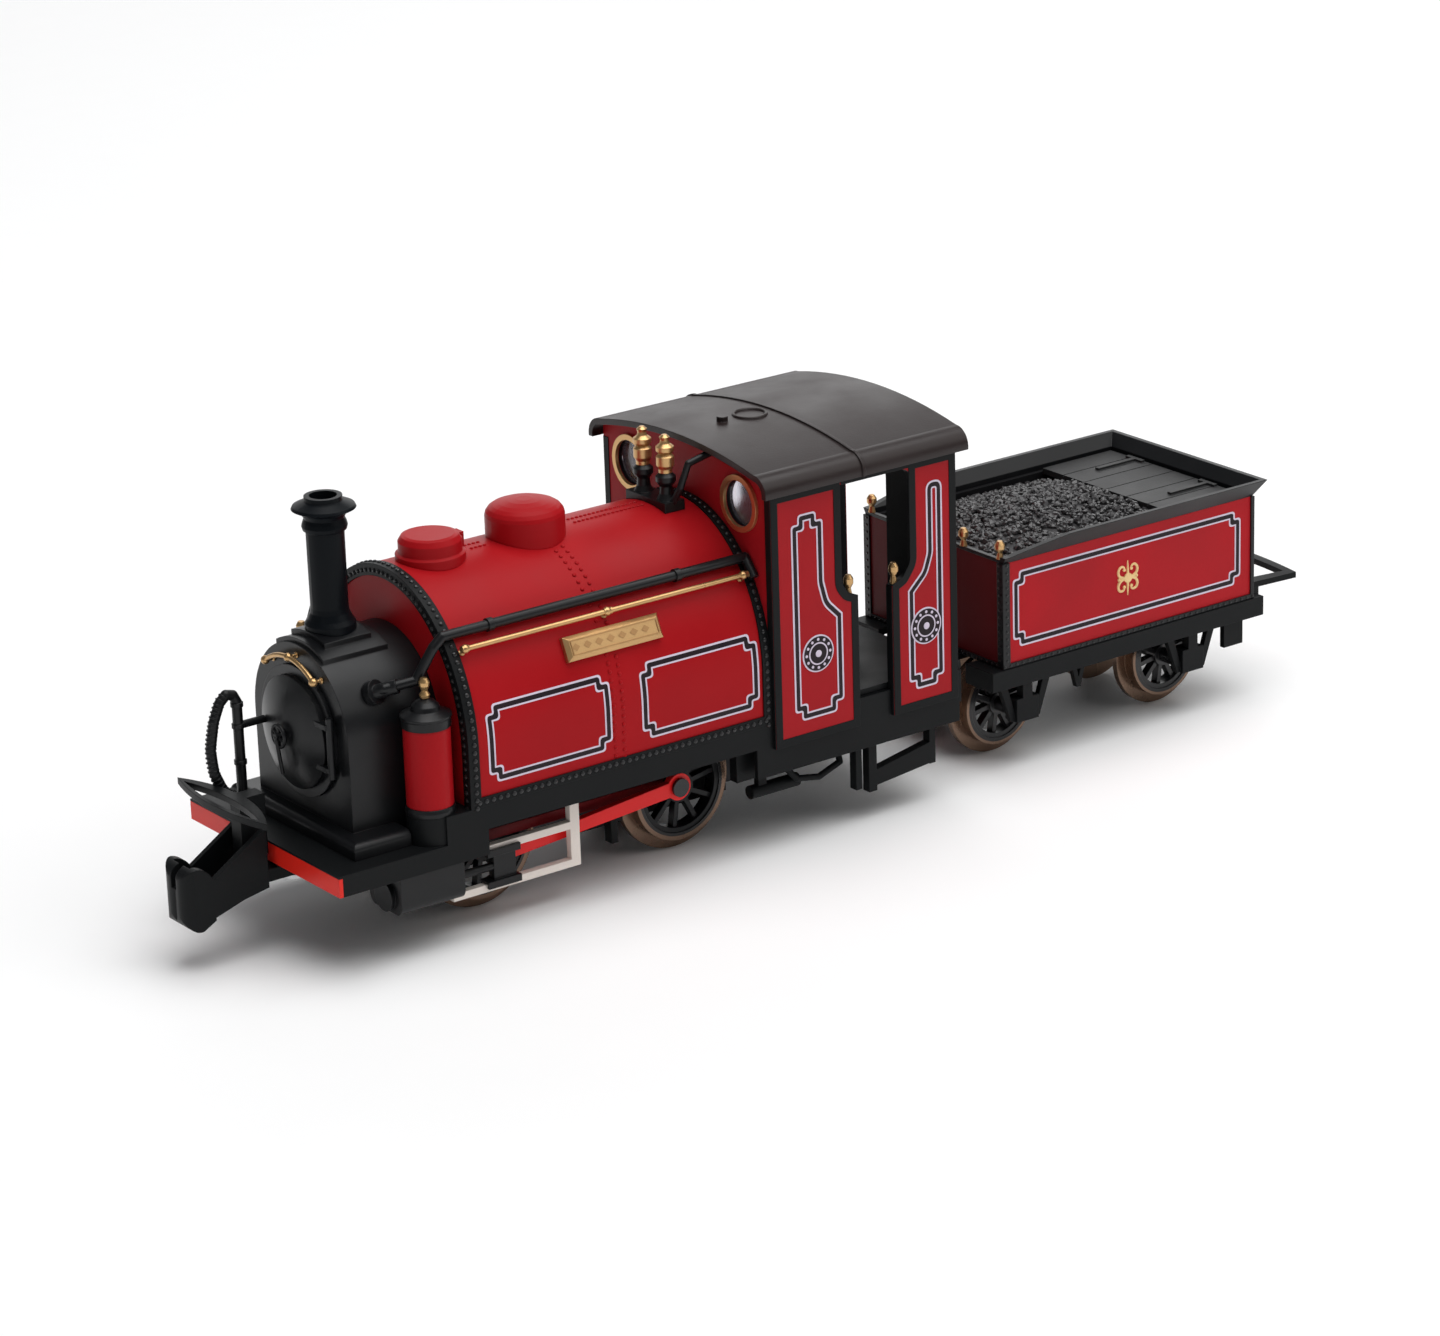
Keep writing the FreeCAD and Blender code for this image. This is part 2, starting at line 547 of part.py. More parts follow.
# ---------------------------------------------------------------- saddle tank and its fittings
def tank_form(grow, x0, x1, bottom=PLATE_TOP):
    """The tank's section, upright below and a half ellipse above, grown all round and run from x0 to x1."""
    y = TANK_Y + grow
    top = TANK_TOP + grow
    crown = Part.Ellipse(V(x0, 0, top), V(x0, y, TANK_Z), V(x0, 0, TANK_Z))
    edges = [Part.ArcOfEllipse(crown, -math.pi / 2, math.pi / 2).toShape()]
    corners = [V(x0, -y, TANK_Z), V(x0, -y, bottom), V(x0, y, bottom), V(x0, y, TANK_Z)]
    edges += [Part.LineSegment(a, b).toShape() for a, b in zip(corners, corners[1:])]
    outline = Part.Wire(Part.__sortEdges__(edges))
    return Part.Face(outline).extrude(V(x1 - x0, 0, 0))


def make_tank():
    tank = tank_form(0, TANK_REAR, TANK_FRONT)
    hollow = tank_form(-TANK_WALL, TANK_REAR + TANK_WALL, TANK_FRONT - TANK_WALL, 8.0)
    save("saddle_tank", tank.cut(hollow))
    front = tank_form(STRIP_T, TANK_FRONT - STRIP_W, TANK_FRONT + STRIP_T)
    front = front.cut(tank_form(0, TANK_REAR, TANK_FRONT, 8.0))
    front = front.cut(tank_form(-STRIP_W, TANK_FRONT - 1, TANK_FRONT + 1, 8.0))
    rear = tank_form(STRIP_T, TANK_REAR, TANK_REAR + STRIP_W).cut(tank_form(0, TANK_REAR - 1, TANK_FRONT, 8.0))
    pieces = [front, rear]
    for side in (1, -1):
        y = on_side(side, (TANK_Y, TANK_Y + STRIP_T))
        pieces.append(box((TANK_REAR, TANK_FRONT), y, (PLATE_TOP, PLATE_TOP + 0.75)))
    save("tank_edge_strips", join(pieces))

    top = TANK_TOP
    body = tank_form(0, TANK_REAR, TANK_FRONT)
    filler = turned([(2.7, top - 1.2), (2.7, top + 0.35), (2.45, top + 0.5), (2.45, top + 1.35), (2.2, top + 1.75),
                     (1.9, top + 1.85)], FILLER_X, 0, 0)
    hinge = box((FILLER_X - 2.75, FILLER_X - 2.2), (-0.5, 0.5), (top, top + 1.5))
    save("tank_filler", join([filler, hinge]).cut(body))
    dome = turned([(DOME_R, top - 1.2), (DOME_R, top + 1.55), (DOME_R - 0.08, top + 1.85), (DOME_R - 0.3, top + 2.15),
                   (DOME_R - 0.62, top + 2.36), (DOME_R - 1.1, top + 2.53), (DOME_R - 1.8, top + 2.68),
                   (DOME_R - 2.5, top + 2.75)], DOME_X, 0, 0)
    save("dome", dome.cut(body))

    rails = []
    pipes = []
    plates = []
    barrels = []
    caps = []
    strips = tank_form(STRIP_T + 0.02, TANK_REAR - 1, TANK_FRONT + STRIP_T + 0.02)
    boiler = arch(SMOKEBOX_R, SMOKEBOX_Z, FRONT_PLATE_TOP, TANK_FRONT - 1, SMOKEBOX_FRONT)
    for side in (1, -1):
        y = side * 8.95
        z = 21.95
        ends = (-13.1, -38.9)
        rail = rod((ends[0] + 0.3, y, z), (ends[1] - 0.3, y, z), 0.2)
        rails.append(rail)
        for x in (ends[0], sum(ends) / 2, ends[1]):
            post = box((x - 0.3, x + 0.3), (y - 0.35, y + 0.35), (z - 0.35, z + 0.35))
            stalk = rod((x, y, z), (x, side * 8.43, 21.51), 0.18)
            rails.append(join([post, stalk]).cut(rail))

        run_y = side * 8.05
        run_z = 23.0
        route = [(-6.9, side * 5.55, 19.05), (-7.4, side * 6.5, 19.5), (-9.6, side * 7.5, 19.9),
                 (-10.9, side * 8.0, 22.3), (-11.7, run_y, run_z), (-39.75, run_y, run_z),
                 (-39.75, side * 9.2, 21.6)]
        pieces = [pipe(route, 0.4), rod((-6.9, side * 5.4, 18.95), (-7.1, side * 5.95, 19.2), 0.95),
                  rod((-7.0, side * 5.75, 19.12), (-8.3, side * 6.95, 19.63), 0.55)]
        for x in (-15.9, -33.2):
            pieces.append(rod((x, run_y, run_z), (x, side * 7.3, 22.4), 0.2))
            pieces.append(rod((x - 0.25, run_y, run_z), (x + 0.25, run_y, run_z), 0.52))
        run = join(pieces).cut(strips).cut(boiler)
        pipes.append(max(run.Solids, key=lambda s: s.Volume))

        plate = box((-30.4, -21.6), (-0.1, 0.6), (-0.97, 0.97))
        rim = [e for e in plate.Edges if e.BoundBox.YMin > 0.55]
        plate = plate.makeChamfer(0.3, rim).rotated(V(0, 0, 0), V(1, 0, 0), 25)
        plate.translate(V(0, 9.35, 19.9))
        plate = plate.cut(tank_form(0.01, TANK_REAR, TANK_FRONT))
        plates.append(plate if side > 0 else mirror(plate))

        x = RAISED_X
        y = side * SANDBOX_Y
        barrels.append(turned([(1.8, 10.5), (1.8, 16.7)], x, y, 0))
        caps.append(turned([(1.88, 16.7), (1.88, 17.35), (1.96, 17.45), (1.96, 17.6), (1.6, 17.75), (1.15, 17.95),
                            (1.05, 18.3), (0.75, 18.6), (0.35, 18.8)], x, y, 0))
        caps.append(turned([(1.93, PLATE_TOP), (1.93, 10.2), (1.85, 10.5)], x, y, 0))
    save("ejector_pipes", group(pipes))
    save("nameplates", group(plates))
    save("sandboxes", group(barrels))
    save("sandbox_caps", group(caps))
    return rails


def make_safety_valves():
    x = -37.2
    top = TANK_TOP
    tank = tank_form(0, TANK_REAR, TANK_FRONT)
    pieces = [box((x - 0.95, x + 0.95), (-2.6, 2.6), (top - 1.0, top + 0.45))]
    brass = []
    for side in (1, -1):
        y = side * 1.5
        pieces.append(turned([(0.85, top + 0.3), (0.55, top + 0.9), (0.5, top + 1.5), (0.8, top + 1.9),
                              (0.8, top + 2.3), (0.5, top + 2.6)], x, y, 0))
        brass.append(turned([(0.55, top + 2.6), (0.55, top + 2.9), (0.72, top + 3.2), (0.72, top + 3.9),
                             (0.5, top + 4.1), (0.72, top + 4.35), (0.72, top + 4.7), (0.4, top + 4.95),
                             (0.34, top + 5.2), (0.42, top + 5.45), (0.2, top + 5.65)], x, y, 0))
    route = [(x, 2.35, top + 0.3), (x - 0.3, 3.0, top + 1.6), (x - 0.9, 3.3, top + 3.5), (x - 2.9, 3.6, top + 4.1)]
    pieces.append(pipe(route, 0.28))
    save("safety_valve_base", join(pieces).cut(tank))
    save("safety_valves", group(brass))


# ---------------------------------------------------------------- cab
def roof_arc(y, drop=0.0):
    """Height of the roof's outside over the width."""
    return ROOF_CROWN - drop - (ROOF_R - math.sqrt(ROOF_R ** 2 - y ** 2))


def roof_outline(inset):
    """Closed outline below the roof's crown, set in by the sheet's thickness for the inner face."""
    shoulder = ROOF_SHOULDER
    z_shoulder = roof_arc(shoulder, inset)
    eave = EAVE_Y - inset
    bend = (shoulder + (eave - shoulder) * 0.72, z_shoulder - (z_shoulder - EAVE_Z) * 0.25)
    return [(-eave, EAVE_Z), ("arc", (-bend[0], bend[1]), (-shoulder, z_shoulder)),
            ("arc", (0, ROOF_CROWN - inset), (shoulder, z_shoulder)), ("arc", bend, (eave, EAVE_Z))]


def make_cab():
    roof = cross_plate(roof_outline(0), ROOF_REAR, ROOF_FRONT)
    hollow = cross_plate(roof_outline(ROOF_T), ROOF_REAR, ROOF_FRONT)
    roof = roof.cut(hollow)
    rib = cross_plate(roof_outline(-0.12), -48.9, -48.6).cut(cross_plate(roof_outline(0), -50, -47))
    stub = rod((-43.9, 0, ROOF_CROWN - 0.2), (-43.9, 0, ROOF_CROWN + 0.4), 0.45)
    boss = Part.makeTorus(1.3, 0.14, V(-46.6, 0, ROOF_CROWN + 0.02), V(0, 0, 1))
    roof = join([roof, rib, stub, boss.cut(box((-50, -44), (-2, 2), (ROOF_CROWN - 1, ROOF_CROWN - 0.1)))])
    under = cross_plate(roof_outline(ROOF_T + 0.02), ROOF_REAR - 1, ROOF_FRONT + 1)
    save("cab_roof", roof)

    # the side sheets with their cut-away for the doorway and window
    r = 1.3
    outline = [(CAB_FRONT, CAB_SKIRT), (DOOR_FRONT, CAB_SKIRT), (DOOR_FRONT, CUT_SHOULDER - 0.3),
               (CUT_FRONT - r, CUT_SHOULDER),
               ("arc", (CUT_FRONT - 0.38, CUT_SHOULDER + 0.38), (CUT_FRONT, CUT_SHOULDER + r)),
               (CUT_FRONT, CUT_TOP), (CUT_REAR + 1.2, CUT_TOP),
               ("arc", (CUT_REAR + 0.36, CUT_TOP - 0.36), (CUT_REAR, CUT_TOP - 1.2)),
               (CUT_REAR, CUT_SHOULDER + r),
               ("arc", (CUT_REAR + 0.38, CUT_SHOULDER + 0.38), (CUT_REAR + r, CUT_SHOULDER)),
               (DOOR_REAR, CUT_SHOULDER - 0.3), (DOOR_REAR, CAB_SKIRT), (CAB_REAR, CAB_SKIRT),
               (CAB_REAR, 30.8), (CAB_FRONT, 30.8)]
    sides = []
    for side in (1, -1):
        y = on_side(side, (CAB_Y - CAB_T, CAB_Y))
        sides.append(side_plate(outline, y[0], y[1]))
    front = box((CAB_FRONT - CAB_T, CAB_FRONT), (-CAB_Y, CAB_Y), (PLATE_TOP, 33))
    for side in (1, -1):
        front = front.cut(rod((CAB_FRONT - 2, side * WINDOW_Y, WINDOW_Z), (CAB_FRONT + 1, side * WINDOW_Y, WINDOW_Z),
                              WINDOW_R))
    back_sheet = box((CAB_REAR, CAB_REAR + CAB_T), (-CAB_Y, CAB_Y), (PLATE_TOP + 0.52, 33))
    doorway = [(-REAR_DOOR_Y, PLATE_TOP), (-REAR_DOOR_Y, 24.6), ("arc", (0, 27.4), (REAR_DOOR_Y, 24.6)),
               (REAR_DOOR_Y, PLATE_TOP)]
    back_sheet = back_sheet.cut(cross_plate(doorway, CAB_REAR - 1, CAB_REAR + 2))
    shell = join([front, back_sheet] + sides)
    shell = shell.common(under.fuse(box((-60, -38), (-12, 12), (7, EAVE_Z))))
    inner = box((PLATE_REAR - 1, CAB_FRONT + 0.1), (-PLATE_Y - 0.01, PLATE_Y + 0.01), (5, PLATE_TOP))
    save("cab_body", shell.cut(inner))

    rims = []
    glass = []
    for side in (1, -1):
        centre = V(CAB_FRONT, side * WINDOW_Y, WINDOW_Z)
        outer = Part.makeCylinder(RIM_R, 0.28, centre, V(1, 0, 0))
        rims.append(outer.cut(Part.makeCylinder(WINDOW_R, 0.28, centre, V(1, 0, 0))))
        back = V(CAB_FRONT - 0.55, side * WINDOW_Y, WINDOW_Z)
        glass.append(Part.makeCylinder(WINDOW_R - 0.02, 0.2, back, V(1, 0, 0)))
    save("spectacle_rims", group(rims))
    save("spectacle_glazing", group(glass))

    floor = box((PLATE_REAR + 0.3, CAB_FRONT - CAB_T - 0.02), (-CAB_Y + CAB_T + 0.02, CAB_Y - CAB_T - 0.02),
                (PLATE_TOP, PLATE_TOP + 0.5))
    back = arch(4.6, 16.0, PLATE_TOP + 0.4, -44.6, CAB_FRONT - CAB_T - 0.02)
    fire_door = rod((-44.5, 0, 14.2), (-45.0, 0, 14.2), 1.5)
    lever = rod((-45.0, -1.5, 18.6), (-45.0, 2.2, 19.3), 0.18)
    hub = rod((-44.5, 0.3, 18.9), (-45.1, 0.3, 18.9), 0.35)
    save("cab_interior", join([floor, back, fire_door, lever, hub]))

    knobs = []
    for x in (DOOR_FRONT + 0.42, DOOR_REAR - 0.42):
        knobs += both(turned([(0.32, CUT_SHOULDER - 0.2), (0.2, 19.3), (0.4, 19.7), (0.4, 20.1), (0.22, 20.4)],
                             x, CAB_Y - CAB_T / 2, 0))
    knobs = [k.cut(shell) for k in knobs]
    knobs += both(turned([(0.35, 18.85), (0.42, 19.1), (0.24, 19.4), (0.4, 19.8), (0.42, 20.1), (0.25, 20.4)],
                         RAISED_X, SANDBOX_Y, 0))
    save("brass_knobs", group(knobs))


def make_under_fittings():
    """Brake hangers, injector pipes and bracket plates below the footplate."""
    pieces = []
    for side in (1, -1):
        y = on_side(side, (4.3, 5.2))
        arm = side_plate([(-28.9, 9.2), (-28.0, 9.2), (-28.2, 1.3), (-28.8, 1.3)], y[0], y[1])
        pieces.append(join([arm, box((-29.3, -28.2), y, (3.0, 5.2))]))
        y = side * 8.1
        barrel = rod((-39.5, y, 3.55), (-44.2, y, 3.55), 0.55)
        drain = pipe([(-42.7, y, 6.5), (-42.7, y + side * 0.8, 4.9), (-43.5, y + side * 0.9, 4.0),
                      (-45.7, y + side * 0.9, 3.6), (-47.9, y + side * 0.8, 4.3), (-48.0, y, 6.5)], 0.26)
        pieces.append(join([barrel, drain, box((-41.0, -40.2), (y - 0.3, y + 0.3), (3.8, 9.2)),
                            box((-43.4, -42.0), (y - 0.4, y + 0.4), (6.3, 9.2)),
                            box((-48.6, -47.6), (y - 0.4, y + 0.4), (6.3, 9.2))]))
        pieces.append(box((-39.2, -37.3), on_side(side, (8.6, 9.5)), (5.3, 9.2)))
        y = on_side(side, (9.3, 10.1))
        plates = [box((x - w, x + w), y, (low, 9.2)) for x, w, low in ((-48.9, 0.3, 2.0), (-50.3, 0.4, 1.5),
                                                                       (-56.4, 0.3, 2.4))]
        plates.append(side_plate([(-50.3, 1.9), (-50.3, 3.2), (-56.4, 4.3), (-56.4, 2.5)], y[0], y[1]))
        plates.append(box((-56.7, -48.6), y, (8.2, 9.2)))
        pieces.append(join(plates))
    save("underframe_fittings", group(pieces))


# ---------------------------------------------------------------- front end fittings
def front_bow():
    """The front buffer bow: two curved bars that meet in sharp tips, on a stem from the beam."""
    tip_x, half = BOW_TIP
    back, front = BOW_BARS
    low, high = BOW_Z

    def lens(tip, y, rear, fore, z):
        return face([(tip, -y, z), ("arc", (fore, 0, z), (tip, y, z)), ("arc", (rear, 0, z), (tip, -y, z))])

    ring = lens(tip_x, half, back, front, low).extrude(V(0, 0, high - low))
    ring = ring.cut(lens(tip_x + 0.05, half - 1.0, back + 0.95, front - 0.4, low - 1).extrude(V(0, 0, 3)))
    stem = box((0, back + 0.6), (-0.7, 0.7), (BEAM_BOTTOM + 0.6, high))
    save("buffer_bow_front", join([ring, stem]))


def rear_loop():
    """The tender's rear bow: a flat loop whose side legs run out to a nearly straight bar, on two posts."""
    low, high = LOOP_Z
    rear = TRAIN_REAR
    root = TENDER_HEADSTOCK - 0.02
    outer = [(root, -LOOP_Y, low), (rear + 0.75, -LOOP_Y - 0.4, low), ("arc", (rear, 0, low),
             (rear + 0.75, LOOP_Y + 0.4, low)), (root, LOOP_Y, low)]
    inner = [(root - 0.95, -LOOP_Y + 1.1, low), (rear + 1.35, -LOOP_Y + 0.6, low), ("arc", (rear + 0.85, 0, low),
             (rear + 1.35, LOOP_Y - 0.6, low)), (root - 0.95, LOOP_Y - 1.1, low)]
    ring = face(outer).extrude(V(0, 0, high - low)).cut(face(inner).extrude(V(0, 0, high - low)))
    posts = [box((root - 0.9, root), on_side(side, (LOOP_Y - 1.0, LOOP_Y)), (TENDER_SOLE + 0.3, high))
             for side in (1, -1)]
    save("buffer_bow_rear", join([ring] + posts))


def make_front_fittings():
    front_bow()
    x = -0.55
    y = -3.5
    plate = FRONT_PLATE_TOP
    route = [(x, y, plate), (x, y, 17.4), (x + 0.3, y, 18.0), (x + 0.9, y, 18.15), (x + 1.5, y, 17.6),
             (x + 2.1, y, 16.2), (x + 2.5, y, 14.1), (x + 2.5, y + 0.3, 12.4), (x + 1.9, y + 0.4, 10.9),
             (x + 0.9, y + 0.2, 10.0), (x, y, 9.7)]
    pieces = [pipe(route, 0.4), rod((x, y, plate), (x, y, plate + 0.6), 0.6),
              rod((x, y, 15.5), (SMOKEBOX_FRONT + 1.12, y, 15.5), 0.3)]
    save("brake_pipe_front", join(pieces))

    tail = box((-4.2, 1.6), (-1.4, 1.4), (4.6, 5.6))
    eye = rod((COUPLER_PIVOT, 0, 4.6), (COUPLER_PIVOT, 0, 5.6), 1.7)
    pieces = [tail, eye]
    for side in (1, -1):
        arm = [(0.8, 4.4), (0.8, 9.0), (1.2, 9.0), (5.9, 6.0), (5.9, 3.1), (3.0, 4.0)]
        pieces.append(side_plate(arm, side * 1.45, side * 1.9))
    pieces.append(box((0.8, 5.9), (-1.5, 1.5), (4.2, 4.7)))
    cheek = [(5.5, 3.0), (5.5, 5.6), ("arc", (5.95, 6.9), (6.9, 7.4)), ("arc", (7.65, 7.0), (7.9, 6.1)), (7.9, 3.5),
             ("arc", (7.5, 2.65), (6.6, 2.4))]
    head = side_plate(cheek, -1.9, 1.9)
    head = head.cut(box((5.4, 7.1), (-1.2, 1.2), (5.0, 9.0)))
    head = head.cut(box((6.9, 8.0), (-0.35, 0.35), (5.6, 9.0)))
    # the face's upright edges are rounded
    pieces.append(head.common(box((5.0, 6.4), (-2, 2), (2, 9)).fuse(rod((6.4, 0.6, 2), (6.4, 0.6, 9), 1.5)
                                                                  .fuse(rod((6.4, -0.6, 2), (6.4, -0.6, 9), 1.5)))))
    coupler = join(pieces).cut(rod((COUPLER_PIVOT, 0, 4), (COUPLER_PIVOT, 0, 6), 0.65))
    save("front_coupler", coupler)
    coil = [Part.makeTorus(1.15, 0.16, V(COUPLER_PIVOT, 0, 5.95 + 0.36 * n), V(0, 0, 1)) for n in range(3)]
    save("coupler_spring", join(coil + [box((COUPLER_PIVOT + 1.0, COUPLER_PIVOT + 1.3), (-0.15, 0.15), (5.8, 6.98))]))


# ---------------------------------------------------------------- drawbar and tender
def make_drawbar():
    bar = box((DRAW_TENDER_X, DRAW_LOCO_X), (-0.9, 0.9), DRAW_Z)
    pieces = [bar] + [rod((x, 0, DRAW_Z[0]), (x, 0, DRAW_Z[1]), 1.2) for x in (DRAW_LOCO_X, DRAW_TENDER_X)]
    bar = join(pieces)
    for x in (DRAW_LOCO_X, DRAW_TENDER_X):
        bar = bar.cut(rod((x, 0, 4), (x, 0, 6), 0.55))
    save("drawbar", bar)


def make_tender_body():
    shell = box((TENDER_REAR, TENDER_FRONT), (-TENDER_Y, TENDER_Y), (TENDER_BOTTOM, TENDER_TOP))
    hollow = box((TENDER_REAR + TENDER_WALL, TENDER_FRONT - TENDER_WALL),
                 (-TENDER_Y + TENDER_WALL, TENDER_Y - TENDER_WALL), (TENDER_BOTTOM + 0.8, TENDER_TOP + 1))
    save("tender_body", shell.cut(hollow))

    # black angle strips at the four corners and along the bottom
    outer = box((TENDER_REAR - STRIP_T, TENDER_FRONT + STRIP_T), (-TENDER_Y - STRIP_T, TENDER_Y + STRIP_T),
                (TENDER_BOTTOM, TENDER_TOP))
    solid = box((TENDER_REAR, TENDER_FRONT), (-TENDER_Y, TENDER_Y), (TENDER_BOTTOM, TENDER_TOP))
    frame = outer.cut(solid)
    keep = [box((TENDER_REAR - 1, TENDER_FRONT + 1), (-12, 12), (TENDER_BOTTOM, TENDER_BOTTOM + 0.4))]
    for side in (1, -1):
        for x in ((TENDER_FRONT - 0.6, TENDER_FRONT + 1), (TENDER_REAR - 1, TENDER_REAR + 0.2)):
            keep.append(box(x, on_side(side, (TENDER_Y - 0.6, 12)), (TENDER_BOTTOM, TENDER_TOP)))
    strips = frame.common(join(keep)).removeSplitter()

    # flared coping: upright foot, then leaning out; its sides sweep down towards the front
    flare = []
    top_y = TENDER_Y + COPING_OUT
    for side in (1, -1):
        outline = [(side * (TENDER_Y - 0.35), TENDER_TOP), (side * TENDER_Y, TENDER_TOP),
                   (side * top_y, COPING_TOP), (side * (top_y - 0.45), COPING_TOP),
                   (side * (TENDER_Y - 0.35), TENDER_TOP + 0.45)]
        flare.append(cross_plate(outline, TENDER_REAR - COPING_OUT, TENDER_FRONT))
    end = [(TENDER_REAR + 0.35, TENDER_TOP), (TENDER_REAR, TENDER_TOP), (TENDER_REAR - COPING_OUT, COPING_TOP),
           (TENDER_REAR - COPING_OUT + 0.45, COPING_TOP), (TENDER_REAR + 0.35, TENDER_TOP + 0.45)]
    flare.append(side_plate(end, -top_y, top_y))
    coping = join(flare)
    frustum = Part.makeLoft([
        Part.makePolygon([V(TENDER_REAR - out, -TENDER_Y - out, z), V(TENDER_FRONT + 3, -TENDER_Y - out, z),
                          V(TENDER_FRONT + 3, TENDER_Y + out, z), V(TENDER_REAR - out, TENDER_Y + out, z),
                          V(TENDER_REAR - out, -TENDER_Y - out, z)])
        for out, z in ((0.0, TENDER_TOP), (COPING_OUT, COPING_TOP))], True)
    coping = coping.common(frustum)
    sweep = side_plate([(TENDER_FRONT + 1, TENDER_TOP + 0.45), (TENDER_FRONT - 0.6, TENDER_TOP + 0.55),
                        ("arc", (TENDER_FRONT - 3.4, COPING_TOP - 0.42), (TENDER_FRONT - 6.6, COPING_TOP + 0.01)),
                        (TENDER_FRONT - 6.6, COPING_TOP + 2), (TENDER_FRONT + 1, COPING_TOP + 2)], -12, 12)
    front = box((TENDER_FRONT - 0.4, TENDER_FRONT), (-TENDER_Y, TENDER_Y), (TENDER_TOP, TENDER_TOP + 0.3))
    coping = coping.cut(sweep).fuse(front)
    coping = coping.removeSplitter()
    save("tender_coping", group([coping, strips]))

    inside = TENDER_Y - TENDER_WALL - 0.02
    back = TENDER_REAR + TENDER_WALL + 0.02
    cover = box((back, -83.5), (-inside, inside), (TENDER_TOP - 0.2, TENDER_TOP + 0.3))
    for n in range(1, 6):
        y = -inside + n * inside / 3
        cover = cover.cut(box((back, -83.5), (y - 0.06, y + 0.06), (TENDER_TOP + 0.15, TENDER_TOP + 1)))
    straps = []
    for side in (1, -1):
        y = side * 4.6
        bar = box((back + 0.1, back + 4.6), (y - 0.22, y + 0.22), (TENDER_TOP + 0.3, TENDER_TOP + 0.48))
        cross = box((back + 0.1, back + 0.5), (y - 1.0, y + 1.0), (TENDER_TOP + 0.3, TENDER_TOP + 0.48))
        straps.append(join([bar, cross]))
    save("tender_cover", group([cover] + straps))
    coal = side_plate([(TENDER_FRONT - TENDER_WALL - 0.05, TENDER_BOTTOM + 0.8), (-83.45, TENDER_BOTTOM + 0.8),
                       (-83.45, TENDER_TOP + 0.3), ("arc", (-75.0, TENDER_TOP + 1.1),
                                                    (TENDER_FRONT - TENDER_WALL - 0.05, TENDER_TOP - 0.4))],
                      -inside, inside)
    save("coal_load", coal)
    knobs = []
    for y in (8.3, 3.7):
        knobs += both(turned([(0.32, TENDER_TOP + 0.3), (0.2, TENDER_TOP + 0.8), (0.42, TENDER_TOP + 1.15),
                              (0.42, TENDER_TOP + 1.5), (0.22, TENDER_TOP + 1.8)], TENDER_FRONT - 0.2, y, 0))
    trim = box((TENDER_FRONT - 5, TENDER_FRONT), (-12, 12), (TENDER_TOP, TENDER_TOP + 0.3))
    save("tender_knobs", group([k.cut(trim).cut(coping) for k in knobs]))


def make_tender_frame():
    floor = box((TENDER_HEADSTOCK, TENDER_FRONT + 1.4), (-TENDER_SOLE_Y, TENDER_SOLE_Y), (7.4, TENDER_BOTTOM))
    pieces = [floor]
    for side in (1, -1):
        y = on_side(side, (TENDER_SOLE_Y - 0.5, TENDER_SOLE_Y))
        pieces.append(box((TENDER_HEADSTOCK, TENDER_FRONT + 1.4), y, (TENDER_SOLE, TENDER_BOTTOM)))
        y_iron = on_side(side, (8.1, 8.6))
        for x in TENDER_AXLES:
            for way in (1, -1):
                leg = [(x + way * 3.2, 7.8), (x + way * 2.4, 7.8), (x + way * 0.9, 3.1), (x + way * 1.5, 3.1)]
                pieces.append(side_plate(leg, y_iron[0], y_iron[1]))
            pieces.append(box((x - 1.15, x + 1.15), on_side(side, (7.4, 8.9)), (3.05, 5.05)))
            pieces.append(box((x - 0.5, x + 0.5), on_side(side, (8.1, 8.9)), (5.0, 7.8)))
        mid = (TENDER_AXLES[0] + TENDER_AXLES[1]) / 2 + 3.3
        hanger = [(mid + 1.1, 7.8), (mid + 0.6, 7.8), (mid, 5.3), (mid - 0.6, 7.8), (mid - 1.1, 7.8), (mid - 0.2, 4.5),
                  (mid + 0.2, 4.5)]
        pieces.append(side_plate(hanger, y_iron[0], y_iron[1]))
        pieces.append(box((-91.3, -89.2), y_iron, (4.1, 7.8)))
    for x in (TENDER_HEADSTOCK, TENDER_FRONT + 0.8):
        pieces.append(box((x, x + 0.6), (-TENDER_SOLE_Y, TENDER_SOLE_Y), (TENDER_SOLE, TENDER_BOTTOM)))
    pieces.append(box((DRAW_TENDER_X - 1.2, DRAW_TENDER_X + 1.2), (-1.6, 1.6), (TENDER_SOLE, 7.8)))
    frame = join(pieces)
    for x in TENDER_AXLES:
        frame = frame.cut(disc(x, TENDER_R, -8.4, 8.4, TENDER_AXLE_R + RUN_FIT))
        for side in (1, -1):
            y = on_side(side, (WHEEL_BACK - 0.4, WHEEL_FACE + 0.4))
            frame = frame.cut(box((x - 4.9, x + 4.9), y, (6.0, 9.0)))
    pin = rod((DRAW_TENDER_X, 0, 4.3), (DRAW_TENDER_X, 0, TENDER_SOLE), 0.5)
    pin = pin.fuse(rod((DRAW_TENDER_X, 0, 4.3), (DRAW_TENDER_X, 0, 4.8), 0.9))
    save("tender_frame", group([frame, pin]))
    rear_loop()


def make_tender_wheels():
    for x, word in zip(TENDER_AXLES, ("front", "rear")):
        rim = TENDER_R - 0.55
        pieces = [disc(x, TENDER_R, -8.2, 8.2, TENDER_AXLE_R)]
        for side in (1, -1):
            pieces.append(tyre(x, TENDER_R, TENDER_R, rim, side))
            pieces.append(spoked_centre(x, TENDER_R, rim, 0.95, TENDER_AXLE_R, side))
        save(f"tender_{word}_wheelset", group(pieces))


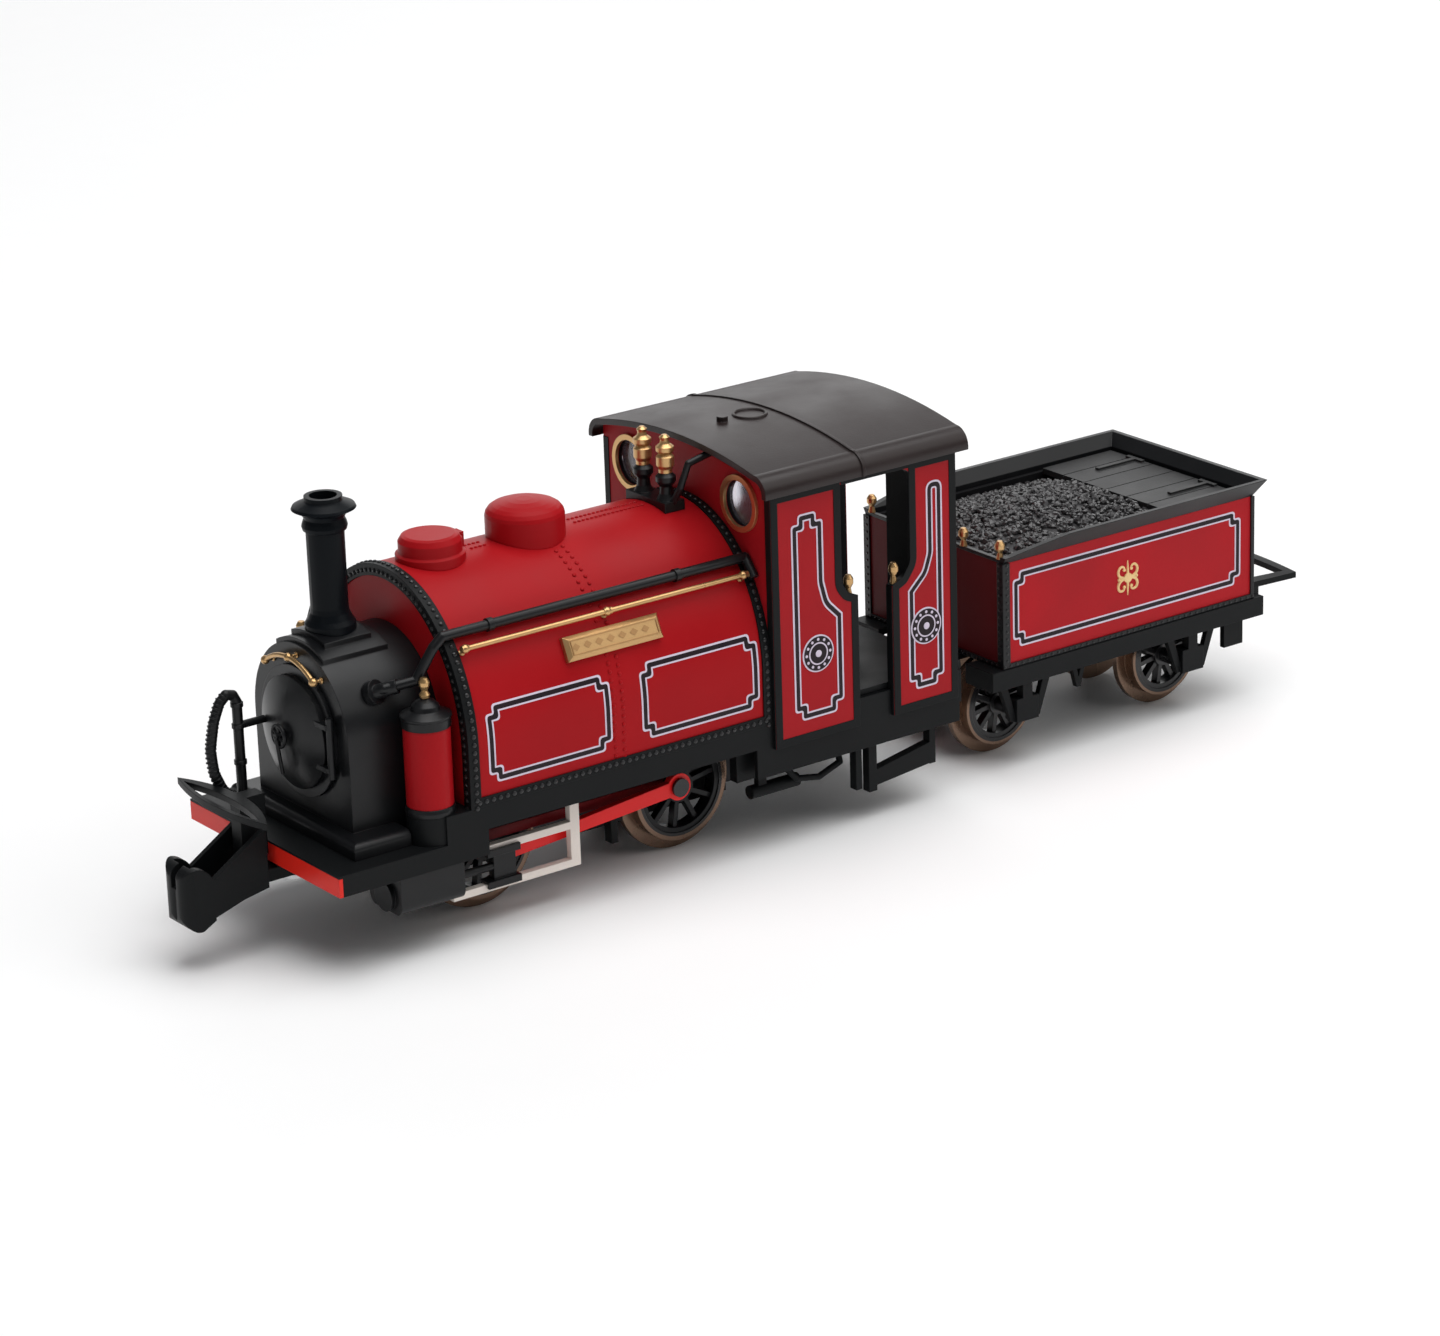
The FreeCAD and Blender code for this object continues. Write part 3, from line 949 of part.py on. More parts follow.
driving_wheelset("rear_driver", REAR_AXLE, 7.6)
driving_wheelset("front_driver", FRONT_AXLE, 6.25)
make_gears()
make_rods()
make_chassis()
make_motor()
make_footplate()
make_cylinders()
door_rail = make_smokebox()
tank_rails = make_tank()
save("handrails", group([door_rail] + tank_rails))
make_safety_valves()
make_cab()
make_under_fittings()
make_front_fittings()
make_drawbar()
make_tender_body()
make_tender_frame()
make_tender_wheels()
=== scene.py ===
import math
import random

import bmesh
import bpy
from mathutils import Matrix, Vector


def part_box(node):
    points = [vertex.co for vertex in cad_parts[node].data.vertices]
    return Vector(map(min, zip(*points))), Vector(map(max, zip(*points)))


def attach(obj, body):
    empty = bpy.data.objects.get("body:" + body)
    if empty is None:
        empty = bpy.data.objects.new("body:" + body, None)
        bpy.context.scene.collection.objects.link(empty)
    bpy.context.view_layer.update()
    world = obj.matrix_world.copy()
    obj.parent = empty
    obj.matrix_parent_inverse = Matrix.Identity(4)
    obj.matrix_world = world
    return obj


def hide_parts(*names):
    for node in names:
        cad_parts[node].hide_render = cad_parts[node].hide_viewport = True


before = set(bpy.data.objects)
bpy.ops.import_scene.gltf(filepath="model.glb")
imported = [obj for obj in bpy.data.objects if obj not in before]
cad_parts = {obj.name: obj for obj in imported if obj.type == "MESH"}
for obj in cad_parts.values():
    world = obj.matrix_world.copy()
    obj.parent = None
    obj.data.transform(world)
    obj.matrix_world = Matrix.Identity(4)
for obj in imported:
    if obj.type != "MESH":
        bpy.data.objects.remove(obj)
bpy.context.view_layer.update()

# Everything below is drawn in millimetres as the locomotive's own drawing is: x forward from the face of the
# buffer beam, y to the left, z up from the rail head.
MM = 0.001
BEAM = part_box("buffer_beam")
BEAM_FACE = BEAM[1].x
RAIL = BEAM[0].z - 6.0 * MM         # the beam's lower edge is 6 mm above the rail
TO_FRAME = Matrix.Translation((BEAM_FACE, 0.0, RAIL)) @ Matrix.Scale(MM, 4)


def local(node):
    """A CAD node's box in drawing millimetres."""
    low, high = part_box(node)
    return [(c - Vector((BEAM_FACE, 0, RAIL))) / MM for c in (low, high)]


# ---------------------------------------------------------------- materials
GRAIN_DEPTH = 0.04 * MM
SKIN = 0.05 * MM        # how thin an outside face is taken to be where its paint stops


def nodes_of(mat):
    return mat.node_tree.nodes, mat.node_tree.links


def paint(name, colour, rough, metal=0.0, vary=0.12, grain=1500.0, bump=0.06, fine=9000.0,
          rough_vary=0.08, edge=0.0, specular=0.5):
    """A moulded or painted surface: slow colour drift, patchy sheen, fine grain and softened edges.

    vary and rough_vary spread the colour and the roughness, grain and fine are the scales of the slow and the
    quick noise, and edge is the radius in millimetres that corners are shaded with.
    """
    mat = bpy.data.materials.new(name)
    mat.use_nodes = True
    nodes, links = nodes_of(mat)
    shader = nodes["Principled BSDF"]
    where = nodes.new("ShaderNodeTexCoord")
    slow = nodes.new("ShaderNodeTexNoise")
    slow.inputs["Scale"].default_value = grain * 0.12
    slow.inputs["Detail"].default_value = 5.0
    links.new(where.outputs["Object"], slow.inputs["Vector"])
    quick = nodes.new("ShaderNodeTexNoise")
    quick.inputs["Scale"].default_value = fine
    quick.inputs["Detail"].default_value = 3.0
    links.new(where.outputs["Object"], quick.inputs["Vector"])
    mixed = nodes.new("ShaderNodeMath")
    mixed.operation = "MULTIPLY_ADD"
    mixed.inputs[1].default_value = 0.35
    links.new(quick.outputs["Fac"], mixed.inputs[0])
    links.new(slow.outputs["Fac"], mixed.inputs[2])
    ramp = nodes.new("ShaderNodeValToRGB")
    ramp.color_ramp.elements[0].position = 0.42
    ramp.color_ramp.elements[1].position = 0.92
    ramp.color_ramp.elements[0].color = (*[c * (1.0 - vary) for c in colour], 1.0)
    ramp.color_ramp.elements[1].color = (*[min(1.0, c * (1.0 + vary)) for c in colour], 1.0)
    links.new(mixed.outputs[0], ramp.inputs["Fac"])
    links.new(ramp.outputs["Color"], shader.inputs["Base Color"])
    sheen = nodes.new("ShaderNodeMapRange")
    sheen.inputs["From Min"].default_value = 0.3
    sheen.inputs["From Max"].default_value = 0.75
    sheen.inputs["To Min"].default_value = max(0.05, rough - rough_vary)
    sheen.inputs["To Max"].default_value = min(1.0, rough + rough_vary)
    links.new(slow.outputs["Fac"], sheen.inputs["Value"])
    links.new(sheen.outputs["Result"], shader.inputs["Roughness"])
    shader.inputs["Metallic"].default_value = metal
    shader.inputs["Specular IOR Level"].default_value = specular
    relief = nodes.new("ShaderNodeBump")
    relief.inputs["Strength"].default_value = bump
    relief.inputs["Distance"].default_value = GRAIN_DEPTH
    links.new(quick.outputs["Fac"], relief.inputs["Height"])
    if edge:
        soft = nodes.new("ShaderNodeBevel")
        soft.samples = 4
        soft.inputs["Radius"].default_value = edge * MM
        links.new(soft.outputs["Normal"], relief.inputs["Normal"])
    links.new(relief.outputs["Normal"], shader.inputs["Normal"])
    return mat


BLACK = paint("satin_black", (0.0060, 0.0064, 0.0074), 0.35, edge=0.10, bump=0.10, specular=0.30)
ROOF = paint("roof_black", (0.0205, 0.0128, 0.0122), 0.38, edge=0.12, bump=0.22, fine=7000.0, specular=0.33)
FRAME_BLACK = paint("frame_black", (0.0058, 0.0066, 0.0072), 0.46, edge=0.08, bump=0.12, specular=0.14)
CRIMSON = paint("crimson_paint", (0.38, 0.0068, 0.0105), 0.38, edge=0.10, bump=0.07, vary=0.06, specular=0.09)
CRIMSON_FLAT = paint("crimson_sheet", (0.375, 0.0095, 0.0145), 0.46, edge=0.06, bump=0.16, vary=0.09,
                     fine=6000.0, specular=0.12)
# painted light: the cab's crimson made lighter for the tender, so its side carries the brighter light that
# falls on it
LIT_TENDER_CRIMSON = paint("tender_crimson_painted_light", (0.43, 0.0102, 0.0160), 0.46, edge=0.06, bump=0.16, vary=0.09,
                       fine=6000.0, specular=0.12)
BEAM_RED = paint("beam_red", (0.80, 0.022, 0.012), 0.38, edge=0.05, bump=0.08, vary=0.08, specular=0.25)
ROD_RED = paint("rod_red", (0.92, 0.011, 0.012), 0.36, edge=0.08, bump=0.06, vary=0.06, specular=0.3)
# the coupling rods' red with painted shade: darkened for the shade they run in under the footplate
SHADED_COUPLING_RED = paint("coupling_rod_painted_shade", (0.20, 0.005, 0.008), 0.40, edge=0.08, bump=0.06, vary=0.10,
                 specular=0.2)
OFF_WHITE = paint("slidebar_white", (0.90, 0.81, 0.74), 0.42, edge=0.08, bump=0.06, vary=0.05)
BRASS = paint("bright_brass", (0.58, 0.36, 0.16), 0.32, metal=0.88, edge=0.06, bump=0.08, vary=0.14)
PLATE_FACE = paint("nameplate_face", (0.46, 0.26, 0.11), 0.42, metal=0.72, edge=0.04, bump=0.16, vary=0.14)
GILT = paint("gilt_paint", (0.86, 0.60, 0.28), 0.45, metal=0.25, edge=0.04, bump=0.08, vary=0.10)
TYRE = paint("bronzed_tyre", (0.22, 0.142, 0.100), 0.30, metal=0.85, edge=0.08, bump=0.05, vary=0.18)
STEEL = paint("turned_steel", (0.52, 0.52, 0.53), 0.28, metal=0.95, edge=0.06, bump=0.05, vary=0.10)
NYLON = paint("gear_nylon", (0.74, 0.70, 0.60), 0.48, edge=0.05, bump=0.05, vary=0.06)
CHIMNEY_BLACK = paint("chimney_black", (0.0045, 0.0060, 0.0078), 0.38, edge=0.10, bump=0.10, specular=0.09)
RIVET_BLACK = paint("rivet_black", (0.011, 0.011, 0.012), 0.32, bump=0.10, specular=0.5)
CAST = paint("cast_metal", (0.03, 0.03, 0.033), 0.50, metal=0.3, edge=0.08, bump=0.20, vary=0.15,
             specular=0.3)
PALE_LINE = paint("lining_pale", (0.70, 0.62, 0.74), 0.46, bump=0.05, vary=0.06, specular=0.2)
DARK_LINE = paint("lining_black", (0.014, 0.0075, 0.011), 0.46, bump=0.08, vary=0.15, specular=0.2)
COAL = paint("crushed_coal", (0.044, 0.0425, 0.044), 0.34, bump=0.35, vary=0.35, fine=5200.0, grain=3200.0,
             rough_vary=0.16, specular=0.6)
PLANK = paint("plank_black", (0.016, 0.016, 0.0165), 0.48, edge=0.05, bump=0.25, vary=0.18, fine=5200.0,
              specular=0.42)


DULL_BLACK = (0.008, 0.008, 0.009)


def math_node(nodes, links, operation, a, b):
    """A math node fed with sockets or numbers; gives its output."""
    node = nodes.new("ShaderNodeMath")
    node.operation = operation
    for socket, value in zip(node.inputs, (a, b)):
        if isinstance(value, float):
            socket.default_value = value
        else:
            links.new(value, socket)
    return node.outputs[0]


def two_tone(mat, name, colour, keep):
    """A copy of a finish that turns to another, unmetallic colour where keep(maths, x, y, z) gives nought."""
    twin = mat.copy()
    twin.name = name
    nodes, links = nodes_of(twin)
    shader = nodes["Principled BSDF"]
    where = nodes.new("ShaderNodeTexCoord")
    split = nodes.new("ShaderNodeSeparateXYZ")
    links.new(where.outputs["Object"], split.inputs[0])

    def maths(operation, a, b):
        return math_node(nodes, links, operation, a, b)

    mask = keep(maths, *[split.outputs[i] for i in range(3)])
    mix = nodes.new("ShaderNodeMix")
    mix.data_type = "RGBA"
    factor, first_colour, second_colour, result = mix.inputs[0], mix.inputs[6], mix.inputs[7], mix.outputs[2]
    links.new(mask, factor)
    first_colour.default_value = (*colour, 1.0)
    links.new(shader.inputs["Base Color"].links[0].from_socket, second_colour)
    links.new(result, shader.inputs["Base Color"])
    metal = maths("MULTIPLY", mask, shader.inputs["Metallic"].default_value)
    links.new(metal, shader.inputs["Metallic"])
    return twin


def inner_half(limit):
    """True within limit millimetres of the train's middle plane."""
    def keep(maths, x, y, z):
        return maths("LESS_THAN", maths("ABSOLUTE", y, 0.0), limit * MM)
    return keep


def behind(x_limit):
    """True behind the cross plane at x_limit, in metres."""
    def keep(maths, x, y, z):
        return maths("LESS_THAN", x, x_limit)
    return keep


def outside_radius(node, limit):
    """True farther than limit millimetres from a cross axis through the middle of a node."""
    low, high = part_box(node)
    centre = (low + high) / 2

    def keep(maths, x, y, z):
        dx = maths("SUBTRACT", x, centre.x)
        dz = maths("SUBTRACT", z, centre.z)
        square = maths("ADD", maths("MULTIPLY", dx, dx), maths("MULTIPLY", dz, dz))
        return maths("GREATER_THAN", square, (limit * MM) ** 2)
    return keep


def outer_sheet(node):
    """True on the outside skin of a box-shaped node: its side and end faces."""
    low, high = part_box(node)

    def keep(maths, x, y, z):
        side = maths("GREATER_THAN", maths("ABSOLUTE", y, 0.0), high.y - SKIN)
        rear = maths("LESS_THAN", x, low.x + SKIN)
        fore = maths("GREATER_THAN", x, high.x - SKIN)
        return maths("MAXIMUM", side, maths("MAXIMUM", rear, fore))
    return keep


def make_glass():
    """Slightly clouded clear plastic."""
    mat = paint("window_glass", (0.80, 0.78, 0.86), 0.07, bump=0.02, vary=0.04, rough_vary=0.02)
    mat.node_tree.nodes["Principled BSDF"].inputs["Transmission Weight"].default_value = 0.92
    return mat


GLASS = make_glass()


# ---------------------------------------------------------------- mesh tools, all in drawing millimetres
class Mesh:
    """One visible piece under construction."""

    def __init__(self):
        self.bm = bmesh.new()

    def face(self, points, mat=0):
        f = self.bm.faces.new([self.bm.verts.new(p) for p in points])
        f.material_index = mat
        return f

    def rings(self, rings, closed=True, cap=True, mat=0):
        """Skin over a row of rings of points."""
        rows = [[self.bm.verts.new(p) for p in ring] for ring in rings]
        n = len(rows[0])
        span = n if closed else n - 1
        for a, b in zip(rows, rows[1:]):
            for i in range(span):
                j = (i + 1) % n
                self.bm.faces.new((a[i], a[j], b[j], b[i])).material_index = mat
        if cap and closed:
            self.bm.faces.new(list(reversed(rows[0]))).material_index = mat
            self.bm.faces.new(rows[-1]).material_index = mat

    def box(self, x, y, z, mat=0):
        x, y, z = sorted(x), sorted(y), sorted(z)
        ring = [(x[0], y[0]), (x[1], y[0]), (x[1], y[1]), (x[0], y[1])]
        self.rings([[(px, py, h) for px, py in ring] for h in z], mat=mat)

    def lathe(self, profile, centre, axis=(0, 0, 1), n=40, mat=0):
        """Turn (radius, height) points about an axis through centre."""
        turn = Vector((0, 0, 1)).rotation_difference(Vector(axis))
        rings = []
        for r, h in profile:
            ring = []
            for i in range(n):
                a = 2 * math.pi * i / n
                p = turn @ Vector((max(r, 1e-4) * math.cos(a), max(r, 1e-4) * math.sin(a), h))
                ring.append(p + Vector(centre))
            rings.append(ring)
        self.rings(rings, mat=mat)

    def tube(self, points, r, n=12, mat=0):
        """A round bar along a smooth row of points, of one radius or one per point, that doesn't twist."""
        pts = [Vector(p) for p in points]
        tangents = []
        for i in range(len(pts)):
            before = pts[max(0, i - 1)]
            after = pts[min(len(pts) - 1, i + 1)]
            tangents.append((after - before).normalized())
        side = tangents[0].orthogonal().normalized()
        rings = []
        for i, (p, t) in enumerate(zip(pts, tangents)):
            side = (side - t * side.dot(t)).normalized()
            other = t.cross(side)
            radius = r[i] if isinstance(r, list) else r
            turns = [2 * math.pi * k / n for k in range(n)]
            rings.append([p + (side * math.cos(a) + other * math.sin(a)) * radius for a in turns])
        self.rings(rings, mat=mat)

    def rivet(self, p, normal, r, h, n=8, mat=0):
        """A round head of radius r that stands h proud of p."""
        self.lathe([(r, -0.02), (r * 0.95, h * 0.45), (r * 0.6, h * 0.88), (r * 0.15, h)], p, normal, n, mat)

    def ball(self, p, r, n=16, mat=0, axis=(0, 0, 1)):
        half = n // 2
        turns = [math.pi * i / half for i in range(half + 1)]
        profile = [(r * math.sin(a), -r * math.cos(a)) for a in turns]
        self.lathe(profile, p, axis, n, mat)

    def done(self, name, body, slot, *mats, stands_for=(), sharp=32.0):
        """Turn the mesh into an object on a body; edges steeper than sharp degrees stay crisp."""
        bm = self.bm
        bmesh.ops.recalc_face_normals(bm, faces=bm.faces)
        bm.transform(TO_FRAME)
        limit = math.radians(sharp)
        for e in bm.edges:
            if len(e.link_faces) == 2 and e.calc_face_angle(0.0) > limit:
                e.smooth = False
        for f in bm.faces:
            f.smooth = True
        data = bpy.data.meshes.new(name)
        bm.to_mesh(data)
        bm.free()
        obj = bpy.data.objects.new(name, data)
        bpy.context.scene.collection.objects.link(obj)
        for m in mats:
            data.materials.append(m)
        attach(obj, body)
        if stands_for:
            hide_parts(*stands_for)
        return obj


def smooth_path(points, step=0.25):
    """Even points along a Catmull-Rom curve through the given ones."""
    pts = [Vector(p) for p in points]
    pts = [pts[0] * 2 - pts[1]] + pts + [pts[-1] * 2 - pts[-2]]
    out = []
    for a, b, c, d in zip(pts, pts[1:], pts[2:], pts[3:]):
        n = max(2, int((c - b).length / step))
        for i in range(n):
            t = i / n
            out.append(0.5 * ((2 * b) + (c - a) * t + (2 * a - 5 * b + 4 * c - d) * t * t
                              + (3 * b - a - 3 * c + d) * t ** 3))
    return out + [pts[-2]]


def rounded_corner(before, here, after, radius):
    """Points along the rounded corner at here, between its two neighbours."""
    a = before - here
    b = after - here
    cut = min(radius / math.tan(a.angle(b) / 2), a.length * 0.49, b.length * 0.49)
    start = here + a.normalized() * cut
    end = here + b.normalized() * cut
    steps = 6
    turns = [k / steps for k in range(steps + 1)]
    return [start * (1 - t) ** 2 + here * 2 * t * (1 - t) + end * t * t for t in turns]


def offset(outline, d):
    """The closed outline moved inwards by d; it runs anticlockwise."""
    out = []
    n = len(outline)
    for i in range(n):
        p = Vector(outline[i])
        a = p - Vector(outline[i - 1])
        b = Vector(outline[(i + 1) % n]) - p
        na = Vector((-a.y, a.x)).normalized()
        nb = Vector((-b.y, b.x)).normalized()
        m = (na + nb).normalized()
        out.append(p + m * d * (1.0 / m.dot(na)))
    return out


def inset(shape, d, step=0.5):
    """A shape moved inwards by d with its corners rounded afresh; a shape is sharp points and their radii."""
    points, radii = shape
    moved = offset(points, d)
    n = len(points)
    corners = []
    for i in range(n):
        before, here, after = (Vector(points[k % n]) for k in (i - 1, i, i + 1))
        outward = (here - before).cross(after - here) > 0
        radius = max(radii[i] - d, 0.03) if outward else radii[i] + d
        corners.append(rounded_corner(moved[i - 1], moved[i], moved[(i + 1) % n], radius))
    out = []
    for i in range(n):
        last, first = corners[i][-1], corners[(i + 1) % n][0]
        k = max(1, int((Vector(points[(i + 1) % n]) - Vector(points[i])).length / step))
        out += corners[i] + [last.lerp(first, m / k) for m in range(1, k)]
    return out


def band(mesh, shape, d0, d1, lay, height, mat=0):
    """A thin raised band between two insets of a shape, laid on a surface: lay(u, v, h) gives the point."""
    outer, inner = inset(shape, d0), inset(shape, d1)
    n = len(outer)
    grid = []
    for side, h in ((outer, 0.0), (outer, height), (inner, height), (inner, 0.0)):
        grid.append([mesh.bm.verts.new(lay(u, v, h)) for u, v in side])
    for row_a, row_b in zip(grid, grid[1:]):
        for i in range(n):
            j = (i + 1) % n
            mesh.bm.faces.new((row_a[i], row_a[j], row_b[j], row_b[i])).material_index = mat


SUNK = 0.005            # how far a laid-on band starts below the surface


def lining(name, body, shape, lay):
    """White, black, white lining: a wide black band edged by two pale lines."""
    mesh = Mesh()
    lift = 0.03
    for d0, d1, height, mat in ((0.0, 0.15, lift, 0), (0.15, 0.51, lift * 0.9, 1), (0.51, 0.64, lift, 0)):
        band(mesh, shape, d0, d1, lay, height, mat)
    return mesh.done(name, body, "off_white", PALE_LINE, DARK_LINE)


def notched(x0, x1, z0, z1, c=0.66):
    """A panel's shape, anticlockwise, with a square step in each corner; the outward corners are rounded."""
    points = [(x0 + c, z0), (x1 - c, z0), (x1 - c, z0 + c), (x1, z0 + c), (x1, z1 - c), (x1 - c, z1 - c),
              (x1 - c, z1), (x0 + c, z1), (x0 + c, z1 - c), (x0, z1 - c), (x0, z0 + c), (x0 + c, z0 + c)]
    return points, [0.42, 0.42, 0.10] * 4


# ---------------------------------------------------------------- the tank's surface
# its section: upright sides at TANK_Y up to TANK_Z, then half an ellipse that peaks at TANK_TOP
TANK_Y, TANK_Z, TANK_TOP = 10.5, 14.3, 26.3
TANK_RISE = TANK_TOP - TANK_Z
TANK_LOW, TANK_HIGH = local("saddle_tank")


def tank_point(x, s, h=0.0):
    """The point s up along the tank's left half from its lower edge and h proud of it, and its normal."""
    straight = TANK_Z - TANK_LOW.z
    if s <= straight:
        return Vector((x, TANK_Y + h, TANK_LOW.z + s)), Vector((0, 1, 0))
    a = tank_angle(s - straight)
    y, z = TANK_Y * math.cos(a), TANK_RISE * math.sin(a)
    return Vector((x, y, TANK_Z + z)) + tank_normal(y, z) * h, tank_normal(y, z)


def tank_normal(y, z):
    """The direction square to the ellipse at y, z from its middle."""
    return Vector((0, y / TANK_Y ** 2, z / TANK_RISE ** 2)).normalized()


def arc_table(steps=400):
    """Pairs of arc length and angle along the ellipse from its lower end to the top."""
    table = [(0.0, 0.0)]
    total = 0.0
    last = Vector((TANK_Y, 0.0))
    for i in range(1, steps + 1):
        a = math.pi / 2 * i / steps
        here = Vector((TANK_Y * math.cos(a), TANK_RISE * math.sin(a)))
        total += (here - last).length
        table.append((total, a))
        last = here
    return table


ANGLES = arc_table()
TANK_GIRTH = TANK_Z - TANK_LOW.z + ANGLES[-1][0]


def tank_angle(s):
    """The ellipse's angle at arc length s."""
    for (s0, a0), (s1, a1) in zip(ANGLES, ANGLES[1:]):
        if s <= s1:
            return a0 + (a1 - a0) * (s - s0) / (s1 - s0)
    return ANGLES[-1][1]


def tank_at_height(x, z, h):
    """The point at height z on the tank's left half, h proud of it."""
    if z <= TANK_Z:
        return Vector((x, TANK_Y + h, z))
    y = TANK_Y * math.sqrt(max(0.0, 1 - ((z - TANK_Z) / TANK_RISE) ** 2))
    return Vector((x, y, z)) + tank_normal(y, z - TANK_Z) * h


def flip(p):
    """The mirror point on the other side."""
    return Vector((p[0], -p[1], p[2]))


# ---------------------------------------------------------------- camera, light and floor
def make_camera():
    """The long lens that looks at the train's front left from above; where it stands is in millimetres."""
    cam = bpy.data.cameras.new("camera")
    cam.sensor_width = 36.0
    cam.lens = 119.92
    cam.clip_start = 0.01
    azimuth, elevation, roll = (math.radians(a) for a in (143.9656, 19.6237, -1.8331))
    stand = Vector((169.126, 291.485, 139.495))
    back = Vector((math.sin(azimuth) * math.cos(elevation), -math.cos(azimuth) * math.cos(elevation),
                   math.sin(elevation)))
    right = Vector((math.cos(azimuth), math.sin(azimuth), 0.0))
    up = back.cross(right)
    c, s = math.cos(roll), math.sin(roll)
    right, up = right * c + up * s, up * c - right * s
    obj = bpy.data.objects.new("camera", cam)
    bpy.context.scene.collection.objects.link(obj)
    turn = Matrix((right, up, back)).transposed().to_4x4()
    obj.matrix_world = Matrix.Translation(TO_FRAME @ stand) @ turn
    bpy.context.scene.camera = obj


def area_light(name, where, aim, size, power, colour=(1, 1, 1)):
    """A rectangular lamp at where, in metres, turned towards aim."""
    light = bpy.data.lights.new(name, "AREA")
    light.shape = "RECTANGLE"
    light.size, light.size_y = size
    light.energy = power
    light.color = colour
    obj = bpy.data.objects.new(name, light)
    bpy.context.scene.collection.objects.link(obj)
    obj.location = where
    obj.rotation_euler = (Vector(aim) - Vector(where)).to_track_quat("-Z", "Y").to_euler()


def make_stage():
    """A broad white floor, a faint sky and the lamps."""
    reach = 9000
    floor = Mesh()
    floor.face([(-reach, -reach, 0), (reach, -reach, 0), (reach, reach, 0), (-reach, reach, 0)])
    data = bpy.data.meshes.new("floor")
    floor.bm.transform(Matrix.Scale(MM, 4))
    floor.bm.to_mesh(data)
    floor.bm.free()
    obj = bpy.data.objects.new("floor", data)
    bpy.context.scene.collection.objects.link(obj)
    data.materials.append(paint("pale_floor", (0.96, 0.96, 0.96), 0.85, bump=0.0, vary=0.01, grain=40.0,
                                fine=200.0, specular=0.1))
    world = bpy.data.worlds.new("studio")
    world.use_nodes = True
    background = world.node_tree.nodes["Background"]
    background.inputs["Color"].default_value = (0.95, 0.97, 1.0, 1.0)
    background.inputs["Strength"].default_value = 0.16
    bpy.context.scene.world = world
    bpy.context.scene.view_settings.view_transform = "Standard"
    # a bright sheet behind the model, a broad box over it, a softer one at its rear left, a faint one ahead
    area_light("backdrop", (-0.50, -0.70, 0.33), (0.0, 0.0, 0.0), (1.10, 0.50), 2.05)
    area_light("overhead_box", (-0.10, 0.10, 0.80), (0.0, 0.0, 0.0), (0.95, 0.75), 7.2)
    area_light("rear_left_box", (-0.50, 0.52, 0.55), (0.0, 0.0, 0.01), (0.70, 0.50), 1.5, (1.0, 0.99, 0.97))
    area_light("front_box", (0.75, 0.30, 0.30), (0.0, 0.0, 0.01), (0.35, 0.30), 0.10)


# ---------------------------------------------------------------- tank details
RIVET_PITCH = 0.62
STRIP_RIVET = (0.19, 0.13)      # radius and height of a head
SEAM_X = -25.65                 # the joint between the tank's two halves
SIDES = ((1, "left"), (-1, "right"))


def spread(low, high, pitch, first=0, last=0):
    """Even places from low to high about a pitch apart, leaving out some at either end."""
    n = int((high - low) / pitch)
    return [low + (high - low) * i / n for i in range(first, n + 1 - last)]


def strip_rivets():
    """Rows of rivets along the black strips at both ends of the tank and along its lower edges."""
    x_front = local("tank_edge_strips")[1].x
    strip, proud = 0.8, 0.15
    rivets = Mesh()
    for s in spread(0.0, TANK_GIRTH, RIVET_PITCH):
        spots = [tank_point(TANK_HIGH.x - strip / 2, s, proud), tank_point(TANK_LOW.x + strip / 2, s, proud),
                 (tank_point(x_front, s, -0.38)[0], Vector((1, 0, 0)))]
        for p, normal in spots:
            rivets.rivet(p, normal, *STRIP_RIVET)
        if s < TANK_GIRTH - 0.01:       # the one on the crown has no mirror twin
            for p, normal in spots:
                rivets.rivet(flip(p), flip(normal), *STRIP_RIVET)
    for x in spread(TANK_LOW.x, TANK_HIGH.x, RIVET_PITCH, 1, 1):
        for side in (1, -1):
            rivets.rivet((x, side * (TANK_Y + proud), TANK_LOW.z + 0.4), (0, side, 0), *STRIP_RIVET)
    rivets.done("tank_strip_rivets", "locomotive", "black_satin", RIVET_BLACK)


def seam_rivets():
    """Staggered rivets up the middle seam, and short double rows along the crown between the fittings."""
    seam = Mesh()
    count = int(TANK_GIRTH / 0.66)
    for i in range(1, count + 1):
        for row, shift in ((-0.42, 0.0), (0.42, 0.5)):
            p, normal = tank_point(SEAM_X + row, TANK_GIRTH * (i - shift) / count)
            seam.rivet(p, normal, 0.17, 0.12)
            seam.rivet(flip(p), flip(normal), 0.17, 0.12)
    crown_front, crown_pitch = -13.6, 0.4
    for i in [*range(15, 19), *range(39, 56)]:
        for y in (-0.45, 0.45):
            seam.rivet((crown_front - i * crown_pitch, y, TANK_TOP - 0.02), (0, 0, 1), 0.16, 0.11)
    seam.done("tank_seam_rivets", "locomotive", "crimson", CRIMSON)


def tank_lining():
    """Two lined panels on each side of the tank."""
    for side, word in SIDES:
        def lay(u, v, h, side=side):
            p = tank_at_height(u, v, h - SUNK)
            return p if side > 0 else flip(p)
        for x0, x1, end in ((-25.0, -13.7, "front"), (-39.0, -27.8, "rear")):
            lining(f"tank_lining_{end}_{word}", "locomotive", notched(x0, x1, 11.5, 17.6), lay)


# ---------------------------------------------------------------- cab details
CAB_Y = 10.99           # the outside of the cab's side sheets


def side_lay(y, side):
    """Lay a flat drawing of x and z on the upright sheet at y."""
    def lay(u, v, h):
        return Vector((u, side * (y + h - SUNK), v))
    return lay


